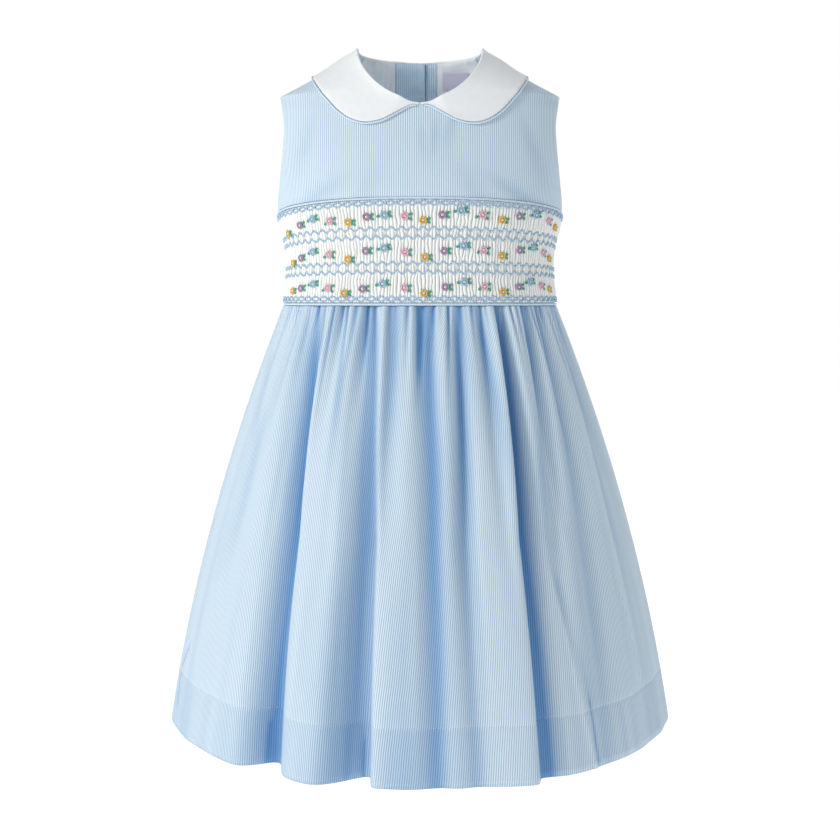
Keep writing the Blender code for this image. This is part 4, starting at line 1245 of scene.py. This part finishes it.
def collar_half(sign, side_name):
    """A collar half, rolled over at the neck, and the cord round its outer edge."""
    start, out, place = neck_columns(sign, COLLAR_COLUMNS)
    widths = smooth_value(COLLAR_OUTLINE[:, 0], COLLAR_OUTLINE[:, 1], place)
    shares = np.linspace(0, 1, COLLAR_ROWS) ** 1.25
    outer, inner, across = [], [], []
    for share in shares:
        spots = along_body(start, out, widths * share) if share else start
        normal = normal_at(spots)
        seat = under_collar(spots) + SEAM_GAP
        roll = mix(COLLAR_FRONT_ROLL, COLLAR_BACK_ROLL, ease(spots[:, 1] / COLLAR_LIFT_LENGTH))
        roll = roll * np.exp(-widths * share / COLLAR_ROLL_LENGTH)
        front = ease(-spots[:, 1] / COLLAR_LIFT_LENGTH)
        lift = COLLAR_EDGE_LIFT * front * share**3 * ease(widths / 20)
        cloth = mix(COLLAR_POINT_CLOTH, COLLAR_CLOTH, ease(widths / COLLAR_POINT_REACH))
        roll = roll * ease(widths / COLLAR_POINT_REACH)
        outer.append(spots + normal * (seat + cloth + roll + lift)[:, None])
        inner.append(spots + normal * (seat + lift)[:, None])
        across.append(widths * share)
    rolled, wrapped = rounded_neck(np.stack(outer, axis=1), np.stack(inner, axis=1))
    extra = rolled.shape[1] - COLLAR_ROWS
    across = np.stack(across, axis=1)
    across = np.concatenate([np.repeat(across[:, :1], extra, axis=1), across], axis=1)
    along = np.broadcast_to((place * 1.0)[:, None], across.shape)
    uv = np.stack([along, across], axis=-1) * METRES
    obj = shell(f"collar_cloth_{side_name}", rolled, wrapped, uv, [WHITE])
    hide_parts(f"collar_{side_name}")
    collar_cord(sign, side_name, start, out, widths)


COLLAR_EDGE_LIFT = 0.7


def rounded_neck(outer, inner):
    """Adds rows that turn over the collar's neck edge, in place of a square one."""
    turns = np.linspace(np.pi / 2, 0, 6)[:-1]
    middle = (outer[:, 0] + inner[:, 0]) / 2
    half = (outer[:, 0] - inner[:, 0]) / 2
    back = unit(outer[:, 0] - outer[:, 2]) * np.linalg.norm(half, axis=-1, keepdims=True)
    top = [middle + half * math.cos(t) + back * math.sin(t) * 0.8 for t in turns]
    low = [middle - half * math.cos(t) + back * math.sin(t) * 0.8 for t in turns]
    low[0] = low[0] - half * 0.05
    outer = np.concatenate([np.stack(top, axis=1), outer], axis=1)
    inner = np.concatenate([np.stack(low, axis=1), inner], axis=1)
    return outer, inner


def collar_cord(sign, side_name, start, out, widths):
    edge = along_body(start, out, widths)
    tangent = np.gradient(edge, axis=0)
    aside = unit(np.cross(tangent, normal_at(edge)))
    aside *= np.sign(dot(aside, out))[:, None]
    spots = along_body(edge, aside, np.full(len(edge), COLLAR_PIPING_OFF))
    front = ease(-spots[:, 1] / COLLAR_LIFT_LENGTH)
    lift = COLLAR_EDGE_LIFT * 0.8 * front * ease(widths / 20)
    seat = under_collar(spots) + SEAM_GAP + COLLAR_PIPING_RADIUS + lift
    path = (spots + normal_at(spots) * seat[:, None])[2:-4]
    pieces = Pieces()
    add_tube(pieces, path, normal_at(path), COLLAR_PIPING_RADIUS * 0.8, 10)
    obj = pieces.make(f"collar_cord_{side_name}", [PIPED])
    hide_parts(f"collar_piping_{side_name}")


# Skirt

SKIRT_COLUMNS = 470
SKIRT_ROWS = 96
STRIPE_SPREAD = 0.5


def flare(share, at_waist, at_hem):
    return at_waist + (at_hem - at_waist) * share * (1 + FLARE_BOW * (1 - share))


def fold_depth(folds, angle, share):
    """How far the cloth lies inside the skirt's plain flare, from all of the folds."""
    total = np.zeros(np.broadcast(angle, share).shape)
    for at_waist, at_hem, depths, left_widths, right_widths in folds:
        away = angle - mix(at_waist, at_hem, share)
        width = np.where(away < 0, mix(*left_widths, share), mix(*right_widths, share))
        total = total + smooth_value(FOLD_LEVELS, depths, share) * bump_curve(away, width)
    return total


def gather_table(side):
    """Each gather's angle, drift, depth, width and reach, uneven but the same in each run."""
    random = np.random.default_rng(GATHER_SEEDS[side])
    middle = np.linspace(-86, 86, GATHERS) + random.uniform(-1.1, 1.1, GATHERS)
    drift = random.uniform(-9, 9, GATHERS) + middle * 0.04
    deep = random.uniform(*GATHER_DEPTHS, GATHERS)
    wide = random.uniform(*GATHER_WIDTHS, GATHERS)
    reach = random.uniform(*GATHER_REACHES, GATHERS)
    return zip(middle, drift, deep, wide, reach)


def gather_depth(side, angle, share):
    total = np.zeros(np.broadcast(angle, share).shape)
    for middle, drift, deep, wide, reach in gather_table(side):
        away = angle - middle - drift * share
        start = ease((share + 0.004) / 0.012) * 0.6 + 0.4
        fade = np.exp(-((share / reach) ** 1.5))
        total = total + deep * start * fade * bump_curve(away, wide * (1 + 3 * share))
    return total - GATHER_BALANCE * total.mean(axis=-1, keepdims=True)


def hem_crease(share):
    """A shallow groove where the turned-up hem is sewn."""
    at = 1 - HEM_TURN_UP / (WAIST_Z - HEM_Z)
    return 0.45 * bump_curve(share - at, 0.0035)


def skirt_angles(side):
    """Angles of the columns, closer together where the folds are steep."""
    fine = np.linspace(-SIDE_SEAM, SIDE_SEAM, 3001)
    folds = FRONT_FOLDS if side == FRONT else BACK_FOLDS
    steep = np.zeros(len(fine))
    for level in (0.2, 0.5, 0.9):
        slope = np.abs(np.gradient(fold_depth(folds, fine, level), fine))
        steep += slope
    weight = 1 + 0.35 * np.minimum(steep, 8.0)
    total = np.concatenate([[0.0], np.cumsum((weight[1:] + weight[:-1]) / 2)])
    return np.interp(np.linspace(0, total[-1], SKIRT_COLUMNS), total, fine)


def skirt_form(side, angle, share):
    """The skirt's outer points, and how far each lies in a valley."""
    roundness = mix(ROUNDNESS, HEM_ROUNDNESS, np.minimum(1.0, 2 * share))
    wide = flare(share, WAIST_HALF_WIDTH, HEM_HALF_WIDTH)
    deep = flare(share, WAIST_DEPTH, HEM_DEPTHS[side])
    turn = np.radians(np.abs(angle))
    x = np.copysign(wide * np.sin(turn) ** (2 / roundness), angle)
    y = deep * np.maximum(0.0, np.cos(turn)) ** (2 / roundness)
    out = unit(points(x / wide**2, y / deep**2, 0.0))
    calm = ease((SIDE_SEAM - np.abs(angle)) / FOLD_CALM)
    folds = FRONT_FOLDS if side == FRONT else BACK_FOLDS
    gathered = gather_depth(side, angle, share)
    sunk = fold_depth(folds, angle, share) + gathered
    if side == FRONT:
        sunk = sunk + crease_lines(angle, share)[0]
    move = -(sunk + hem_crease(share)) * calm
    x = x + out[..., 0] * move
    y = y + out[..., 1] * move
    rise = ease((np.abs(angle) - HEM_RISE_FROM) / (SIDE_SEAM - HEM_RISE_FROM))
    z = mix(WAIST_Z, HEM_Z + HEM_SIDE_RISE * rise, share)
    return points(x, side * np.maximum(y, CLOSED_SEAM), z), sunk * calm, gathered * calm


def shade_lines(angle, share):
    """The painted shade of the front's valleys, from the table of dark lines."""
    light = np.ones(np.broadcast(angle, share).shape)
    for angles, darkness, left_widths, right_widths in FRONT_SHADES:
        away = angle - smooth_value(SHADE_LEVELS, angles, share)
        width = np.where(away < 0, mix(*left_widths, share), mix(*right_widths, share))
        light = light * (1 - LINE_SHADE * smooth_value(SHADE_LEVELS, darkness, share) * bump_curve(away, width))
    return 1 - light


def crease_lines(angle, share):
    """Depth of the fine creases, and their painted shade, or painted highlight on ridge creases, as darkness."""
    deep = np.zeros(np.broadcast(angle, share).shape)
    dark = np.zeros(deep.shape)
    for angle_from, from_share, angle_to, to_share, width, depth_there, darkness in FRONT_CREASES:
        along = (share - from_share) / (to_share - from_share)
        faded = ease(along / 0.15) * ease((1 - along) / 0.15 + (to_share > 0.98))
        line = bump_curve(angle - mix(angle_from, angle_to, np.clip(along, 0.0, 1.0)), width) * faded
        deep = deep + depth_there * line
        dark = dark + darkness * line
    return deep, dark


def skirt_shades(side, angle, sunk, gathered, share):
    """Painted shade in the valleys, found as places that lie deeper than the cloth on either side, along the dark
    lines and fine creases (with a painted highlight on the ridge creases), in the gathers and in fine streaks that
    stand for small creases; and a little darker below the hem's fold line.
    """
    near = sunk - smoothed(sunk, 8)
    far = sunk - smoothed(sunk, 30)
    valley = np.clip(near * 0.16, 0, 0.5) + np.clip(far * 0.055, 0, 0.6)
    hem = 0.1 * ease((share - 1 + HEM_TURN_UP / (WAIST_Z - HEM_Z)) / 0.01)
    painted_gather_shade = np.clip((gathered - smoothed(gathered, 10)) * GATHER_SHADE, 0.0, 0.8)
    painted_crease_streaks = PAINTED_CREASE_STREAKS * soft_noise(sunk.shape, (4, 90), 61 + side)
    total = hem + painted_gather_shade + painted_crease_streaks
    if side == FRONT:
        total = total + VALLEY_SHADE * valley + shade_lines(angle, share) + crease_lines(angle, share)[1]
    else:
        total = total + valley
    return np.clip(total, 0.0, 1.0)


def skirt(side, name, node):
    angles = skirt_angles(side)
    top_gap = PIPING_RADIUS + SEAM_GAP if side == FRONT else SEAM_GAP / 2
    first = top_gap / (WAIST_Z - HEM_Z)
    levels = first + (1 - first) * np.linspace(0, 1, SKIRT_ROWS) ** 1.35
    crease = 1 - HEM_TURN_UP / (WAIST_Z - HEM_Z)
    levels = np.sort(np.concatenate([levels, crease + np.array((-0.005, -0.0025, 0.0, 0.0025, 0.005))]))
    share, angle = np.meshgrid(levels[::-1], angles, indexing="ij")
    outer, sunk, gathered = skirt_form(side, angle, share)
    shades = skirt_shades(side, angle, sunk, gathered, share)
    normals = grid_normals(outer) if side == FRONT else -grid_normals(outer)
    inner = inside_of(outer, normals, CLOTH)
    inner[0, :, 2] = outer[0, :, 2]
    inner[-1, :, 2] = outer[-1, :, 2]
    steps = np.linalg.norm(np.diff(outer, axis=1), axis=-1)
    across = np.concatenate([np.zeros((len(levels), 1)), np.cumsum(steps, axis=1)], axis=1)
    across -= across[:, -1:] / 2
    spread = (across[:1, -1:] / across[:, -1:]) ** STRIPE_SPREAD
    uv = np.stack([across * spread, outer[..., 2]], axis=-1) * METRES
    obj = shell(name, outer, inner, uv, [STRIPED], shades)
    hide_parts(node)
    return obj


# Back buttons


def button(number, z):
    """A shell button with four holes, sewn on through a stitched buttonhole."""
    seat = on_body(BACK, np.array(BUTTON_X), np.array(z))
    out = normal_at(seat)
    up = unit(np.array((0.0, 0.0, 1.0)) - out * out[2])
    aside = np.cross(up, out)
    seat = seat + out * (LAP_LIFT + 2 * SEAM_GAP)
    profile = np.array(
        (
            # share of the radius, share of the thickness
            (0.0, 0.02),
            (0.8, 0.02),
            (0.93, 0.12),
            (0.99, 0.35),
            (1.0, 0.62),
            (0.97, 0.86),
            (0.9, 0.99),
            (0.84, 1.0),
            (0.76, 0.92),
            (0.68, 0.78),
            (0.4, 0.74),
            (0.0, 0.74),
        )
    )
    turns = np.linspace(0, 2 * np.pi, 48, endpoint=False)
    radius = np.maximum(profile[:, 0], 0.01)[:, None] * BUTTON_RADIUS
    height = profile[:, 1][:, None] * BUTTON_THICKNESS
    spots = (
        seat
        + aside * (radius * np.cos(turns))[..., None]
        + up * (radius * np.sin(turns))[..., None]
        + out * np.broadcast_to(height, (len(profile), len(turns)))[..., None]
    )
    index = np.arange(spots[..., 0].size).reshape(len(profile), len(turns))
    index = np.concatenate([index, index[:, :1]], axis=1)
    faces = np.stack([index[:-1, :-1], index[:-1, 1:], index[1:, 1:], index[1:, :-1]], axis=-1)
    pieces = Pieces()
    pieces.add(spots, faces.reshape(-1, 4), np.zeros((spots[..., 0].size, 2)))
    hole = 1.25
    level = BUTTON_THICKNESS * 0.74
    for sign_x, sign_y in ((-1, -1), (1, -1), (1, 1), (-1, 1)):
        ring = turns[::4]
        path = (
            seat
            + aside * (sign_x * hole + 0.62 * np.cos(ring))[:, None]
            + up * (sign_y * hole + 0.62 * np.sin(ring))[:, None]
            + out * (level + 0.02)
        )
        add_tube(pieces, path, np.broadcast_to(out, path.shape), 0.16, 6, 1, closed=True)
    for ends in (((-1, -1), (1, 1)), ((-1, 1), (1, -1))):
        share = np.linspace(0, 1, 9)[:, None]
        first = aside * (ends[0][0] * hole) + up * (ends[0][1] * hole)
        last = aside * (ends[1][0] * hole) + up * (ends[1][1] * hole)
        path = seat + mix(first, last, share) + out * (level - 0.1 + 0.45 * np.sin(np.pi * share))
        add_tube(pieces, path, np.broadcast_to(out, path.shape), 0.28, 6, 1)
    obj = pieces.make(f"button_{number}", [BUTTONED, THREAD_LOOKS[THREAD_NAMES.index("white_thread")]])
    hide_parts(f"back_button_{number}")


def back_stitches():
    """Buttonhole stitches on the lap, and the row of stitches that holds the turned-up hem."""
    pieces = Pieces()
    look = THREAD_NAMES.index("white_thread")
    for z in BUTTON_HEIGHTS:
        for side in (-1, 1):
            along = np.linspace(-7.6, 7.6, 60)
            wave = 0.35 * np.abs(np.sin(along * 4.0))
            x = BUTTON_X + along
            heights = np.full(len(x), z + side * 0.75) + side * wave
            path = raised(on_body(BACK, x, heights), lap_lift(x) + 0.2)
            add_tube(pieces, path, normal_at(path), 0.3, 5, look)
    hem_level = 1 - HEM_TURN_UP / (WAIST_Z - HEM_Z)
    for side in (FRONT, BACK):
        angles = np.linspace(-88, 88, 1800)
        path, _, _ = skirt_form(side, angles, np.full(len(angles), hem_level))
        around = np.gradient(path, axis=0)
        out = unit(np.cross(around, np.array((0.0, 0.0, 1.0)))) * (1 if side == FRONT else -1)
        for start in range(0, len(angles) - 4, 12):
            stitch = slice(start, start + 5)
            bow = np.sin(np.linspace(0, np.pi, 5))[:, None]
            dash = path[stitch] + out[stitch] * (0.1 + 0.15 * bow)
            add_tube(pieces, dash, out[stitch], 0.16, 4, look)
    obj = pieces.make("sewing_stitches", THREAD_LOOKS)


# Camera, light and floor


def add_camera():
    data = bpy.data.cameras.new("camera")
    data.sensor_width = 36.0
    data.lens = CAMERA_FOCAL * 36.0 / 840.0
    obj = bpy.data.objects.new("camera", data)
    obj.location = CAMERA_PLACE
    obj.rotation_euler = (math.radians(90) - CAMERA_DOWN, 0.0, 0.0)
    bpy.context.scene.collection.objects.link(obj)
    bpy.context.scene.camera = obj


CAMERA_FOCAL = 1538.0
CAMERA_PLACE = (0.0, -1.2, -0.1718)
CAMERA_DOWN = math.atan(120.0 / CAMERA_FOCAL)

LIGHTS = (
    # name, place, aimed at, size, watts, colour
    ("key", (-2.0, -1.5, 0.7), (0.0, 0.0, -0.25), 0.8, 30.0, (1.0, 0.985, 0.96)),
    ("rim", (0.9, 2.0, 1.0), (0.0, 0.0, -0.2), 1.4, 14.0, (1.0, 1.0, 1.0)),
)


def aimed(place, target):
    way = unit(np.array(place) - np.array(target))
    aside = unit(np.cross(np.array((0.0, 0.0, 1.0)), way))
    up = np.cross(way, aside)
    turned = Matrix((aside.tolist(), up.tolist(), way.tolist())).transposed().to_4x4()
    turned.translation = place
    return turned


def add_lights():
    for name, place, target, size, watts, colour in LIGHTS:
        data = bpy.data.lights.new(name, "AREA")
        data.shape = "DISK"
        data.size = size
        data.energy = watts
        data.color = colour
        obj = bpy.data.objects.new(name, data)
        obj.matrix_world = aimed(place, target)
        bpy.context.scene.collection.objects.link(obj)


def add_world():
    """A white studio: even light from all round, and a pure white backdrop."""
    world = bpy.data.worlds.new("studio")
    bpy.context.scene.world = world
    world.use_nodes = True
    tree = world.node_tree
    around = tree.nodes["Background"]
    around.inputs["Color"].default_value = (0.93, 0.97, 1.0, 1.0)
    around.inputs["Strength"].default_value = 0.485
    seen = tree.nodes.new("ShaderNodeBackground")
    seen.inputs["Color"].default_value = (1.0, 1.0, 1.0, 1.0)
    path = tree.nodes.new("ShaderNodeLightPath")
    either = tree.nodes.new("ShaderNodeMixShader")
    tree.links.new(path.outputs["Is Camera Ray"], either.inputs[0])
    tree.links.new(around.outputs[0], either.inputs[1])
    tree.links.new(seen.outputs[0], either.inputs[2])
    tree.links.new(either.outputs[0], tree.nodes["World Output"].inputs[0])


FLOOR_Z = -0.62
FLOOR_HALF = 6.0


def add_floor():
    made, tree, shader = new_material("white_floor", 0.9)
    shader.inputs["Base Color"].default_value = (0.4, 0.4, 0.4, 1.0)
    shader.inputs["Specular IOR Level"].default_value = 0.0
    shader.inputs["Emission Color"].default_value = (1.0, 1.0, 1.0, 1.0)
    shader.inputs["Emission Strength"].default_value = 0.85
    mesh = bpy.data.meshes.new("floor")
    corners = [(x, y, FLOOR_Z) for x, y in ((-1, -1), (1, -1), (1, 1), (-1, 1))]
    corners = [(x * FLOOR_HALF, y * FLOOR_HALF, z) for x, y, z in corners]
    mesh.from_pydata(corners, [], [(0, 1, 2, 3)])
    mesh.materials.append(made)
    obj = bpy.data.objects.new("floor", mesh)
    bpy.context.scene.collection.objects.link(obj)


def main():
    bpy.context.scene.view_settings.view_transform = "Standard"
    add_camera()
    add_lights()
    add_world()
    add_floor()
    front_yoke()
    back_pieces()
    smocked_panel()
    embroidery()
    panel_pipings()
    collar_half(LEFT, "left")
    collar_half(RIGHT, "right")
    skirt(FRONT, "skirt_cloth_front", "skirt_front")
    skirt(BACK, "skirt_cloth_back", "skirt_back")
    for number, z in enumerate(BUTTON_HEIGHTS, 1):
        button(number, z)
    back_stitches()


main()
